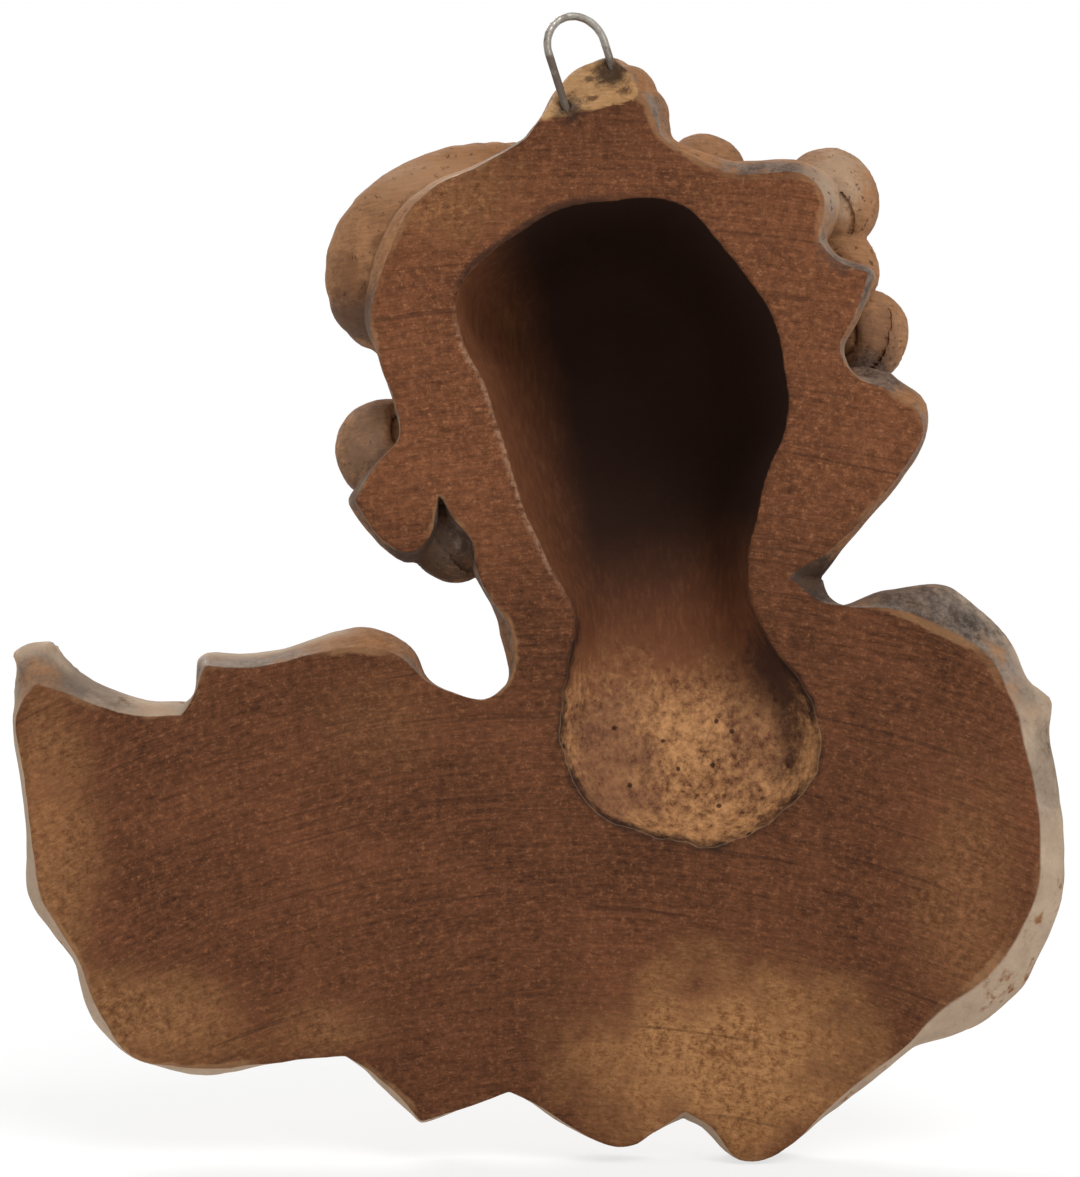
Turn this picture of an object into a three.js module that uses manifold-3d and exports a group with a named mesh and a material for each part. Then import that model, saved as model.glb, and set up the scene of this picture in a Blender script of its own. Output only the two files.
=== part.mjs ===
// Carved wooden angel head between two wings, made to hang on a wall.
// The figure is one thick board, sawn flat and hollowed out behind. It hangs
// from a loop of bent wire whose legs sit in a bevelled knob above the hair.
//
// Millimetres, +Z up, face along -Y, flat back on the plane Y = 0. The work is
// described as it lies on the bench, on its back: x to the right of someone
// who faces it, y up the figure, z the height above the flat back.
import * as THREE from 'three';
import { mergeVertices } from 'three/addons/utils/BufferGeometryUtils.js';
import Module from 'manifold-3d';

// Carved figure: its width over the wings, its height from feather tips to knob, and
// the size that the points and outlines below are drawn at, which follow these two.
const figureWidth = 266.5;
const figureHeight = 278.9;
const drawnWidth = 266.5;
const drawnHeight = 278.9;

// Wire loop, measured to the middle of the wire; angles in degrees.
const wireDiameter = 2;
const loopRadius = 8.1;
const legReach = 24;
const loopLean = 17.5;
const loopTurn = 25;
const loopCentre = [0, 214.2, 6];
const legClearance = 0.3;
const wireSteps = 36;
const wireSegmentCount = 5;

// Knob above the hair, and the bevel across its back from an edge on the flat back.
const knobCentre = [-8.5, 196, 14];
const knobRadii = [15, 16.5, 16];
const bevelFrom = [-14.5, 200.5];
const bevelTo = [9.4, 195.2];
const bevelAngle = 45;

// Board: height of the wings' shoulders, how far the carved edge lies below them, where
// the sides stand out furthest and what share of that they reach halfway there, and how
// far the feathers stay inside the sides.
const shoulderHeight = 30;
const edgeDrop = 13;
const edgeHeight = shoulderHeight - edgeDrop;
const flareHeight = 12;
const flareShare = 0.7;
const reliefInset = 0.6;
const sawAllowance = 2;
const outlineStep = 8;

// Hollow behind, deep in the head and shallow below the neck. Its wall goes in and down
// by these shares of the way to the spine and of the depth.
const headHollowDepth = 58;
const lowerHollowDepth = 14;
const hollowHeadLevel = 125;
const hollowLowerLevel = 35;
const hollowSides = 36;
const hollowShares = [[0, -1], [0, 0], [0.06, 0.35], [0.2, 0.7], [0.45, 0.93], [0.7, 0.99], [0.9, 1]];

// Head: its middle, half sizes, depth of the face, how far the skull lies above the middle,
// and how it leans and looks down.
const headCentre = [-13.5, 125, 42];
const headHalfWidth = 49;
const headHalfHeight = 60;
const faceDepth = 43;
const skullRise = 2;
const headTilt = -9.4;
const headNod = 6;

// Face: rounded forms across and up from the head's middle and forward of the depth of
// the face, each with its half sizes and how softly it runs into what is there already.
// What is off the middle is there on both sides.
const faceMasses = {
  forehead: [[0, 20, -35], [40, 34, 36], 8],
  cheek: [[22, -25, -27], [23, 22, 26], 12],
  muzzle: [[0, -35, -16], [17, 14, 17], 10],
  chin: [[0, -51, -16], [12.5, 9.5, 13], 6],
  doubleChin: [[0, -57, -31], [26, 12, 18], 6],
};
const eyeSocket = [[16.5, -1, 7], [12.5, 8.5, 10.5], 6];
const faceFeatures = {
  brow: [[16.5, 8.5, -6], [14, 3.4, 6], 5],
  noseBridge: [[0, -7, 0], [4.4, 15, 7], 4],
  noseTip: [[0, -20, 4.5], [5.2, 4.8, 6], 3],
  nostril: [[5.4, -22.3, 1.5], [3.7, 3.5, 4.4], 2],
};
const eyesAndLips = {
  rightEye: [[17, -4, -13], [12.4, 12.4, 12.4]],
  leftEye: [[-17, -4, -13], [12.4, 12.4, 12.4]],
  rightUpperLip: [[3.7, -34.2, 0.8], [6, 2.5, 3.8]],
  leftUpperLip: [[-3.7, -34.2, 0.8], [6, 2.5, 3.8]],
  lowerLip: [[0, -38.8, -0.2], [6.6, 3, 4.2]],
};

// Skin of the face: rings about the bridge of the nose, crowded together there, with
// every point found by so many halvings. Then the corners of plain rounded forms.
const skinMiddle = [0, -12, 0];
const skinSides = 30;
const skinRings = 20;
const skinOpening = 105;
const skinExponent = 1.3;
const halvingCount = 24;
const ballSideCount = 12;
const ballRingCount = 8;

// Neck, which the feathers of the ruff lie on.
const neckCentre = [-22, 52, 20];
const neckRadii = [30, 30, 20];

// Hair: the rounded mass that the locks are carved in, then rows of curls round
// the face: how many, how far round from the top, how far out as shares of the half
// sizes of the hair, or of the head for the brow, how far forward, and how big.
const hairHalfWidth = 54;
const hairHalfHeight = 64;
const hairDepth = 28;
const hairBackScale = 0.93;
const hairSideCount = 22;
const domeStepCount = 5;
const crownCurls = { count: 9, spread: 112, reach: [0.944, 0.89], forward: 4, radius: 15, lift: 0.6 };
const browCurls = { count: 9, spread: 106, reach: [0.857, 0.8], forward: 23, radius: 12, lift: 0.8 };
const curlSides = 9;
const curlOpenings = [120, 88, 58, 28];
const curlTurnShare = 0.4;
const curlGroove = 0.2;
const curlFlatness = 0.8;

// Outer curls: the side they are on, how far out beyond the mass, up and forward, and
// their radius. Then the long side lock, out beyond the mass, up and forward.
const outerCurls = [[1, 10.5, -4, -20, 15], [1, -3, -29.5, -22, 13], [-1, 6.5, 42.5, -22, 14.5],
  [-1, 11, 8, -9, 13.5], [-1, 5, -15, -25, 12.5], [-1, -17, -45, -17, 12.5], [-1, -25, 54, -22, 12.5],
  [1, -1, 24, -14, 11], [-1, 6.5, 24, -20, 11.5]];
const outerLift = 0.6;
const sideLock = [[-40, 64, -22], [-17.5, 60.5, -21], [2, 51, -20], [8, 36, -20], [0, 24, -18]];
const lockThickness = 25;
const taperShare = 0.15;

// Feathers: sizes, and the rows as they step down from the shoulders.
const covertWidth = 20;
const covertReach = 27;
const lesserWidth = 15;
const lesserLength = 21;
const lesserSetback = 4;
const rowDrop = 3.5;
const covertHeight = shoulderHeight - rowDrop;
const flightHeight = covertHeight - rowDrop;
const tipDrop = 4.25;
const vaneRise = 2.6;
const vaneTilt = 1.4;
const vaneBed = flareHeight / 2;
const flightBow = 2;
const covertBow = 1;
const armHalfWidth = 9.5;
const armRise = 8.5;
const armDrop = 6;
const bedHalfWidth = 23;
const ridgeStepCount = 8;
const ridgeSideCount = 8;

// Outline of a vane: fractions of its length from the root, and of its half width there.
const vaneOutline = [[0, 0.66], [0.45, 1], [0.88, 0.92], [1, 0.3]];

// Each wing: the arm, the curve that the flight feathers grow from, and their tips; how
// wide they are, and which of their long edges lies higher. Then the thumb feather.
const rightWing = {
  arm: [[14, 40], [36, 54], [66, 55], [88, 51]],
  roots: [[84, 47], [76, 36], [56, 24], [30, 16], [4, 8]],
  tips: [[135, 60], [139, 34], [136, 10], [127, -11], [116, -31], [97, -41], [77, -41], [57, -41],
    [38, -54], [17, -49], [-6, -60]],
  flightWidth: 26,
  raised: 1,
};
const leftWing = {
  arm: [[-44, 44], [-62, 62], [-84, 62], [-103, 50]],
  roots: [[-104, 48], [-90, 44], [-70, 38], [-48, 28], [-30, 16]],
  tips: [[-118, -4], [-108, -19], [-94, -31], [-80, -41], [-65, -51], [-48, -64], [-36, -60],
    [-19, -57]],
  flightWidth: 21,
  raised: -1,
};
const alula = [[-92, 60], [-121.5, 45]];
const alulaWidth = 17;

// Ruff of short feathers under the chin, a long row and a short one over its roots:
// how many, how wide, what share of the way to the tips, and how far above the shoulders.
const ruffRoots = [[-58, 46], [-46, 34], [-24, 26], [-4, 30], [10, 40]];
const ruffTips = [[-62, 16], [-42, 2], [-20, -8], [0, 0], [20, 14]];
const ruffRows = [
  { count: 7, width: 18, share: 1, above: 1 },
  { count: 8, width: 14, share: 0.45, above: 5 },
];

// Edge of the flat back, one list for each stretch between two corners, going
// round counterclockwise: x, y and how far the side stands out beyond it.
const backEdge = {
  knob: [[12.5, 190.5, 1.5], [9, 196, 1], [3.5, 203.5, 1.5], [-3, 208, 2.5], [-8.5, 208.5, 3],
    [-13.5, 203.5, 3.5], [-18, 197, 4.5], [-20.5, 191.5, 2.5]],
  leftCrown: [[-20.5, 191.5, 2.5], [-24, 188, 3], [-38.5, 181.5, 5], [-56, 181.5, 5], [-61, 177, 6],
    [-60, 165, 4]],
  leftTuft: [[-60, 165, 4], [-65, 160, 3], [-73, 157, 3]],
  leftBay: [[-73, 157, 3], [-69, 145.5, 2], [-66, 138, 2], [-70, 130.5, 2], [-77, 127.5, 6]],
  leftLock: [[-77, 127.5, 6], [-84.5, 122.5, 4.5], [-86.5, 116.5, 2], [-81, 108, 2.5], [-67, 91, 2.5],
    [-52, 81, 8]],
  leftShoulder: [[-52, 81, 8], [-60, 74.5, 6], [-67, 73.5, 0], [-79, 72, 6], [-90, 67.5, 11.5],
    [-101, 61.5, 9], [-107, 51, 8.5], [-109, 46, 12.5], [-111, 39, 10], [-115, 16, 8.5], [-113.5, 0, 9.5],
    [-102, -17.5, 12], [-92, -26, 11], [-83, -36, 3.5]],
  leftFeathers: [[-83, -36, 3.5], [-65.5, -49, 4], [-53, -62, 1], [-47.5, -65, 1],
    [-40.5, -65, 1], [-33, -56, 3], [-27, -52.5, 3.5]],
  middleFeathers: [[-27, -52.5, 3.5], [-19, -58.5, 1], [-14.5, -61.5, 0.5], [-7.5, -61, 1],
    [4, -54, 2], [17, -48, 1]],
  featherTip: [[17, -48, 1], [28, -52, 1], [39, -55, 2]],
  featherSide: [[39, -55, 2], [45.5, -48, 3.5], [58, -39, 1]],
  rightFeathers: [[58, -39, 1], [75, -40.5, 1], [95, -42.5, 3.5], [110, -39.5, 2], [119, -29, 4],
    [124, -14.5, 3.5], [133.5, 1, 5], [136.5, 20, 3], [138, 34, 3], [140, 44, 2.5], [138.5, 49, 4.5],
    [135, 52.5, 12]],
  rightTip: [[135, 52.5, 12], [128.5, 51.5, 5], [119.5, 47, 4], [110, 45.2, 4], [99, 46, 2.5]],
  rightStep: [[99, 46, 2.5], [96, 50.5, 1], [92.5, 58, 3.5]],
  rightRidge: [[92.5, 58, 3.5], [75, 58.5, 3.5], [66, 61, 4], [54, 62.5, 5.5], [45, 61, 3.5],
    [38, 55.5, -0.5], [31, 52, -1], [23, 49.8, -1], [17, 54.5, 0], [16, 67, 3.5], [21, 74.5, 1],
    [25, 83, 1], [26.5, 90, 1], [31, 95, 0.5], [34.3, 100.8, 0.2]],
  rightCurl: [[34.3, 100.8, 0.2], [36.3, 92, 1], [42, 87.5, 3], [48, 90, 2], [54.8, 100, 3]],
  rightSide: [[54.8, 100, 3], [50, 109, 1], [44.5, 116, 0.5], [46, 125, 0.5], [50, 136, 0.5],
    [51.5, 145, 2], [48.5, 156, 4], [43, 170, 4], [37, 176.5, 3], [25, 183.5, 2], [12.5, 190.5, 1.5]],
};

// Rim of the hollow, counterclockwise, and the line along its deepest part.
const hollowRim = [[28.8, 155], [18, 165], [4.3, 172.5], [-10.8, 175.5], [-25.8, 174.3],
  [-34.5, 166.3], [-44.5, 153.8], [-49.5, 145], [-52.8, 126.3], [-51.5, 115], [-47, 102.5],
  [-42.8, 85], [-43.3, 75], [-48.3, 65], [-55.8, 55], [-61.3, 41.3], [-59.5, 30], [-52, 22],
  [-42, 15.5], [-32, 13], [-18.3, 16.3], [-7, 19.5], [0.5, 28.8], [4.3, 45], [1.3, 62.5],
  [1.3, 72.5], [6.8, 85], [13, 97.5], [21.8, 125], [30.5, 147.5]];
const hollowSpine = [[-10, 140], [-30, 38]];

const wasm = await Module();
wasm.setup();

const { clamp, degToRad, lerp, smoothstep } = THREE.MathUtils;
const front = new THREE.Vector3(0, 0, 1);
const right = new THREE.Vector3(1, 0, 0);

function place([x, y, z = 0]) {
  return new THREE.Vector3(x, y, z);
}

// A drawn point of the figure at its own size; what follows x and y is kept.
function sized([x, y, ...kept]) {
  return [x * figureWidth / drawnWidth, y * figureHeight / drawnHeight, ...kept];
}

function curveThrough(points, closed = false) {
  return new THREE.CatmullRomCurve3(points.map(place), closed);
}

function closedGeometry(corners, faces) {
  const numbers = corners.flatMap((corner) => corner.toArray());
  const geometry = new THREE.BufferGeometry();
  geometry.setAttribute('position', new THREE.Float32BufferAttribute(numbers, 3));
  geometry.setIndex(faces);
  return geometry;
}

// Solid for joining and cutting, and the way back.
function solid(geometry) {
  const bare = geometry.clone();
  bare.deleteAttribute('normal');
  bare.deleteAttribute('uv');
  const merged = mergeVertices(bare);
  return new wasm.Manifold(new wasm.Mesh({
    numProp: 3,
    vertProperties: merged.attributes.position.array,
    triVerts: new Uint32Array(merged.index.array),
  }));
}

function geometryOf(body) {
  const mesh = body.getMesh();
  const geometry = new THREE.BufferGeometry();
  geometry.setAttribute('position', new THREE.BufferAttribute(mesh.vertProperties, 3));
  geometry.setIndex(new THREE.BufferAttribute(mesh.triVerts, 1));
  geometry.computeVertexNormals();
  return geometry;
}

function join(geometries) {
  return geometries.map(solid).reduce((whole, piece) => whole.add(piece));
}

// Lids for the ends of a loft: of any flat outline, or of a plain rounded section.
function outlineLid(ring) {
  return THREE.ShapeUtils.triangulateShape(ring.map((p) => new THREE.Vector2(p.x, p.y)), []);
}

function sectionLid(ring) {
  return ring.slice(2).map((_, i) => [0, i + 1, i + 2]);
}

// Closed skin through rings of equal count, each counterclockwise seen from the last one.
function loft(rings, lid = outlineLid) {
  const count = rings[0].length;
  const faces = [];
  for (let level = 0; level + 1 < rings.length; level += 1) {
    for (let i = 0; i < count; i += 1) {
      const a = level * count + i;
      const b = level * count + (i + 1) % count;
      faces.push(a, b, a + count, b, b + count, a + count);
    }
  }
  const last = (rings.length - 1) * count;
  lid(rings[0]).forEach(([a, b, c]) => faces.push(c, b, a));
  lid(rings.at(-1)).forEach(([a, b, c]) => faces.push(last + a, last + b, last + c));
  return closedGeometry(rings.flat(), faces);
}

// Closed skin from a point through rings to another point, with every ring
// counterclockwise about the way there.
function pointedSkin(start, rings, end) {
  const sides = rings[0].length;
  const corners = [start, ...rings.flat(), end];
  const last = corners.length - 1;
  const faces = [];
  for (let i = 0; i < sides; i += 1) {
    const next = (i + 1) % sides;
    faces.push(0, 1 + next, 1 + i);
    faces.push(last, last - sides + i, last - sides + next);
    for (let ring = 0; ring + 1 < rings.length; ring += 1) {
      const a = 1 + ring * sides + i;
      const b = 1 + ring * sides + next;
      faces.push(a, b, a + sides, b, b + sides, a + sides);
    }
  }
  return closedGeometry(corners, faces);
}

// Oval form along a smooth curve, pointed at both ends. The half sizes are
// functions of the fraction travelled; up says which way the thickness lies.
function swept(points, steps, sides, halfWidth, halfThickness, up) {
  const curve = new THREE.CatmullRomCurve3(points);
  const rings = Array.from({ length: steps - 1 }, (_, level) => {
    const t = (level + 1) / steps;
    const along = curve.getTangentAt(t);
    const across = new THREE.Vector3().crossVectors(up, along).normalize();
    const rise = new THREE.Vector3().crossVectors(along, across);
    return Array.from({ length: sides }, (_, i) => {
      const angle = i / sides * 2 * Math.PI;
      return curve.getPointAt(t)
        .addScaledVector(across, halfWidth(t) * Math.cos(angle))
        .addScaledVector(rise, halfThickness(t) * Math.sin(angle));
    });
  });
  return pointedSkin(points[0], rings, points.at(-1));
}

function ellipsoid(centre, radii) {
  return new THREE.SphereGeometry(1, ballSideCount, ballRingCount).scale(...radii).translate(...centre);
}

// Board with flared sides, drawn in by an inset where it trims the feathers.
function sampledEdge() {
  return Object.values(backEdge).flatMap((stretch) => {
    const curve = curveThrough(stretch.map(sized));
    const steps = Math.max(2, Math.round(curve.getLength() / outlineStep));
    return curve.getSpacedPoints(steps).slice(0, -1);
  });
}

function offsetEdge(edge, height, share, inset) {
  return edge.map((point, i) => {
    const before = edge.at(i - 1);
    const after = edge[(i + 1) % edge.length];
    const outward = new THREE.Vector3(after.y - before.y, before.x - after.x, 0).normalize();
    return new THREE.Vector3(point.x, point.y, height).addScaledVector(outward, share * point.z - inset);
  });
}

function board(edge, topHeight, inset) {
  return loft([
    offsetEdge(edge, -sawAllowance, 0, inset),
    offsetEdge(edge, 0, 0, inset),
    offsetEdge(edge, flareHeight / 2, flareShare, inset),
    offsetEdge(edge, flareHeight, 1, inset),
    offsetEdge(edge, topHeight, 1, inset),
  ]);
}

// Hollow: the rim drawn in towards the spine as it goes down to its full depth.
function hollowCut() {
  const spine = new THREE.Line3(...hollowSpine.map(sized).map(place));
  const [lowerLevel, headLevel] = [hollowLowerLevel, hollowHeadLevel].map((level) => sized([0, level])[1]);
  const depthAt = (y) => lowerHollowDepth
    + (headHollowDepth - lowerHollowDepth) * smoothstep(y, lowerLevel, headLevel);
  const rim = curveThrough(hollowRim.map(sized), true).getSpacedPoints(hollowSides).slice(0, -1);
  return loft(hollowShares.map(([drawnIn, down]) => rim.map((point) => {
    const target = spine.closestPointToPoint(point, true, new THREE.Vector3());
    const moved = point.clone().lerp(target, drawnIn);
    moved.z = down * depthAt(moved.y);
    return moved;
  })));
}

// Hair mass: an oval column behind, a rounded front that the face stands out of.
function hairMass() {
  const levels = [[-2 * headCentre[2], hairBackScale], [-headCentre[2] / 2, hairBackScale]];
  for (let i = 0; i < domeStepCount; i += 1) {
    const angle = i / domeStepCount * Math.PI / 2;
    levels.push([hairDepth * Math.sin(angle), Math.cos(angle)]);
  }
  return loft(levels.map(([height, scale]) => Array.from({ length: hairSideCount }, (_, i) => {
    const angle = i / hairSideCount * 2 * Math.PI;
    const across = hairHalfWidth * scale * Math.cos(angle);
    return new THREE.Vector3(across, hairHalfHeight * scale * Math.sin(angle), height);
  })));
}

// Distance of a point to an oval, below zero inside it.
function ovalAway(point, [x, y, z], [halfWidth, halfHeight, depth]) {
  const scaled = [(point.x - x) / halfWidth, (point.y - y) / halfHeight, (point.z - z) / depth];
  const reach = Math.hypot(...scaled);
  const slope = Math.hypot(scaled[0] / halfWidth, scaled[1] / halfHeight, scaled[2] / depth);
  return reach * (reach - 1) / slope;
}

// Lesser of two distances, run into each other over a width.
function runInto(a, b, width) {
  const share = clamp(0.5 + 0.5 * (b - a) / width, 0, 1);
  return lerp(b, a, share) - width * share * (1 - share);
}

// Distance of a point to the face, which is the same on both sides.
function faceAway(point) {
  const p = new THREE.Vector3(Math.abs(point.x), point.y, point.z);
  const formAway = ([[x, y, z], radii]) => ovalAway(p, [x, y, faceDepth + z], radii);
  const add = (away, form) => runInto(away, formAway(form), form[2]);
  const skull = ovalAway(p, [0, skullRise, 0], [headHalfWidth, headHalfHeight, faceDepth]);
  const masses = Object.values(faceMasses).reduce(add, skull);
  const hollowed = -runInto(-masses, formAway(eyeSocket), eyeSocket[2]);
  return Object.values(faceFeatures).reduce(add, hollowed);
}

// Where a ray from the middle of the skin leaves the face, found by halving.
function onFace(middle, direction) {
  let inside = 0;
  let outside = headHalfWidth + headHalfHeight + faceDepth;
  for (let i = 0; i < halvingCount; i += 1) {
    const reach = (inside + outside) / 2;
    if (faceAway(middle.clone().addScaledVector(direction, reach)) < 0) inside = reach;
    else outside = reach;
  }
  return middle.clone().addScaledVector(direction, inside);
}

// Rings of the face from inside the hair to the bridge of the nose.
function faceSkin() {
  const middle = place(skinMiddle);
  const rings = Array.from({ length: skinRings }, (_, ring) => {
    const opening = degToRad(skinOpening) * (1 - ring / skinRings) ** skinExponent;
    return Array.from({ length: skinSides }, (_, i) => {
      const direction = new THREE.Vector3().setFromSphericalCoords(1, opening, i / skinSides * 2 * Math.PI);
      return onFace(middle, direction.applyAxisAngle(right, Math.PI / 2));
    });
  });
  return pointedSkin(middle, rings, onFace(middle, front));
}

function faceForms() {
  const ovals = Object.values(eyesAndLips);
  return [faceSkin(), ...ovals.map(([[x, y, z], radii]) => ellipsoid([x, y, faceDepth + z], radii))];
}

// Hair: locks rolled into snails, each a flattened ball with a groove that winds inwards.
function curl(centre, radius, axis, start, hand) {
  const turn = new THREE.Quaternion().setFromUnitVectors(front, axis);
  const spot = (opening, angle, share) => new THREE.Vector3()
    .setFromSphericalCoords(share * radius, opening, angle)
    .applyAxisAngle(right, Math.PI / 2)
    .multiply(new THREE.Vector3(1, 1, curlFlatness))
    .applyQuaternion(turn)
    .add(place(centre));
  const rings = curlOpenings.map((opening, ring) => Array.from({ length: curlSides }, (_, i) => {
    const wound = THREE.MathUtils.euclideanModulo(hand * i / curlSides + curlTurnShare * ring, 1);
    return spot(degToRad(opening), start + i / curlSides * 2 * Math.PI, 1 - curlGroove * wound);
  }));
  return pointedSkin(spot(Math.PI, 0, 1), rings, spot(0, 0, 1));
}

function curlAxis(outward, lift) {
  return outward.clone().multiplyScalar(Math.sqrt(1 - lift * lift)).addScaledVector(front, lift);
}

function curlRow({ count, spread, reach, forward, radius, lift }, halfWidth, halfHeight) {
  const across = halfWidth * reach[0];
  const up = halfHeight * reach[1];
  return Array.from({ length: count }, (_, i) => {
    const share = 2 * i / (count - 1) - 1;
    const angle = degToRad(share * spread);
    const outward = new THREE.Vector3(Math.sin(angle), Math.cos(angle), 0);
    const centre = [across * outward.x, up * outward.y, forward];
    return curl(centre, radius, curlAxis(outward, lift), angle, share < 0 ? 1 : -1);
  });
}

function hair() {
  const outer = outerCurls.map(([side, beyond, up, forward, radius], i) => {
    const centre = [side * (hairHalfWidth + beyond), up, forward];
    const axis = curlAxis(place([centre[0], centre[1]]).normalize(), outerLift);
    return curl(centre, radius, axis, i, i % 2 ? 1 : -1);
  });
  const half = (t) => lockThickness / 2 * Math.sin(Math.PI * lerp(taperShare, 1 - taperShare, t));
  const lockRoute = sideLock.map(([beyond, up, forward]) => place([hairHalfWidth + beyond, up, forward]));
  const lock = swept(lockRoute, ridgeStepCount, ridgeSideCount, half, half, front);
  const crown = curlRow(crownCurls, hairHalfWidth, hairHalfHeight);
  const brow = curlRow(browCurls, headHalfWidth, headHalfHeight);
  return [hairMass(), lock, ...outer, ...crown, ...brow];
}

// The head's own frame, set on the board.
function head() {
  const frame = new THREE.Matrix4()
    .makeRotationFromEuler(new THREE.Euler(degToRad(headNod), 0, degToRad(headTilt), 'ZYX'))
    .setPosition(...sized(headCentre));
  return join([...faceForms(), ...hair()].map((form) => form.applyMatrix4(frame)));
}

// Feather: a vane with a ridge along its shaft, one long edge raised above the other.
function feather(root, tip, width, rootHeight, tipHeight, raised = 0, bow = 0) {
  const along = new THREE.Vector3(tip.x - root.x, tip.y - root.y, 0).normalize();
  const across = new THREE.Vector3().crossVectors(front, along);
  return loft(vaneOutline.map(([t, share]) => {
    const half = width / 2 * share;
    const height = lerp(rootHeight, tipHeight, t);
    const shaft = root.clone().lerp(tip, t).addScaledVector(across, 4 * bow * t * (1 - t));
    const tilt = raised * vaneTilt;
    const section = [[-half, vaneBed], [half, vaneBed], [half, height + tilt], [0, height + vaneRise],
      [-half, height - tilt]];
    return section.map(([out, z]) => shaft.clone().addScaledVector(across, out).setZ(z));
  }), sectionLid);
}

// Points at even steps along a smooth curve.
function spread(points, count) {
  return curveThrough(points.map(sized)).getSpacedPoints(count - 1);
}

// Rounded ridge along a curve at a height.
function ridge(points, height, halfWidth, rise) {
  const route = points.map(sized).map(([x, y]) => place([x, y, height]));
  return swept(route, ridgeStepCount, ridgeSideCount, () => halfWidth, () => rise, front);
}

function wing({ arm, roots, tips, flightWidth, raised }) {
  const flightRoots = spread(roots, tips.length);
  const flights = tips.map(sized).map((tip, i) => {
    const tipHeight = flightHeight - tipDrop;
    const bow = -raised * flightBow;
    return feather(flightRoots[i], place(tip), flightWidth, flightHeight, tipHeight, raised, bow);
  });
  const outerArm = arm.toReversed();
  const count = tips.length - 2;
  const [fromArm, middles, towards] = [outerArm, roots, tips].map((points) => spread(points, count));
  const coverts = middles.map((middle, i) => {
    const root = middle.clone().lerp(fromArm[i], 0.5);
    const tip = towards[i].sub(middle).setLength(covertReach).add(middle);
    const bow = -raised * covertBow;
    return feather(root, tip, covertWidth, covertHeight, covertHeight - tipDrop, raised, bow);
  });
  const lesser = spread(outerArm, tips.length).map((start, i) => {
    const away = flightRoots[i].clone().sub(start).normalize();
    const root = start.addScaledVector(away, -lesserSetback);
    const tip = root.clone().addScaledVector(away, lesserLength);
    return feather(root, tip, lesserWidth, shoulderHeight, shoulderHeight - tipDrop, raised);
  });
  const armRidge = ridge(arm, shoulderHeight - armDrop, armHalfWidth, armRise);
  const armBed = ridge(arm, edgeHeight, bedHalfWidth, armRise);
  return [...flights, ...coverts, ...lesser, armBed, armRidge];
}

function ruff() {
  const feathers = ruffRows.flatMap(({ count, width, share, above }) => {
    const tips = spread(ruffTips, count);
    const height = shoulderHeight + above;
    return spread(ruffRoots, count).map((root, i) => {
      return feather(root, root.clone().lerp(tips[i], share), width, height, height - tipDrop);
    });
  });
  return [ridge(ruffRoots, edgeHeight, bedHalfWidth, armRise), ...feathers];
}

function wings(edge) {
  const forms = [
    ...wing(rightWing),
    ...wing(leftWing),
    feather(...alula.map(sized).map(place), alulaWidth, flightHeight, flightHeight - tipDrop),
    ellipsoid(sized(neckCentre), neckRadii),
    ...ruff(),
  ];
  return join(forms).intersect(solid(board(edge, 2 * shoulderHeight, reliefInset)));
}

// Wire loop: a half round eye between two straight legs.
const lean = degToRad(loopLean);
const turnOut = degToRad(loopTurn);
const legUp = new THREE.Vector3(Math.sin(lean), Math.cos(lean), 0);
const loopAcross = new THREE.Vector3(Math.cos(lean), -Math.sin(lean), 0)
  .multiplyScalar(Math.cos(turnOut))
  .addScaledVector(front, -Math.sin(turnOut));

function inLoop(across, up) {
  return place(sized(loopCentre)).addScaledVector(loopAcross, across).addScaledVector(legUp, up);
}

class Eye extends THREE.Curve {
  getPoint(t, target = new THREE.Vector3()) {
    const angle = Math.PI * t;
    return target.copy(inLoop(loopRadius * Math.cos(angle), loopRadius * Math.sin(angle)));
  }
}

// The bent wire, made thicker and longer by the clearance where it cuts its own holes.
function bentWire(clearance) {
  const [first, last] = [1, -1].map((side) => {
    return { eye: inLoop(side * loopRadius, 0), foot: inLoop(side * loopRadius, -legReach - clearance) };
  });
  const path = new THREE.CurvePath();
  path.add(new THREE.LineCurve3(first.foot, first.eye));
  path.add(new Eye());
  path.add(new THREE.LineCurve3(last.eye, last.foot));
  const section = new THREE.Shape().absarc(0, 0, wireDiameter / 2 + clearance, 0, 2 * Math.PI);
  const bending = { steps: wireSteps, curveSegments: wireSegmentCount, extrudePath: path };
  return new THREE.ExtrudeGeometry(section, bending);
}

// Wedge that takes the back off the knob, down to the bevel.
function bevelCut() {
  const [from, to] = [bevelFrom, bevelTo].map(sized).map(place);
  const along = to.clone().sub(from);
  const width = along.length();
  along.normalize();
  const upward = new THREE.Vector3(-along.y, along.x, 0);
  const reach = 2 * loopRadius;
  const rise = Math.tan(degToRad(bevelAngle));
  const behind = -sawAllowance;
  const wedge = new THREE.Shape([[behind, behind * rise], [reach, behind * rise], [reach, reach * rise]]
    .map(([out, height]) => new THREE.Vector2(out, height)));
  const basis = new THREE.Matrix4().makeBasis(upward, front, along)
    .setPosition(from.addScaledVector(along, -width / 2));
  return new THREE.ExtrudeGeometry(wedge, { depth: 2 * width, bevelEnabled: false }).applyMatrix4(basis);
}

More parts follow.
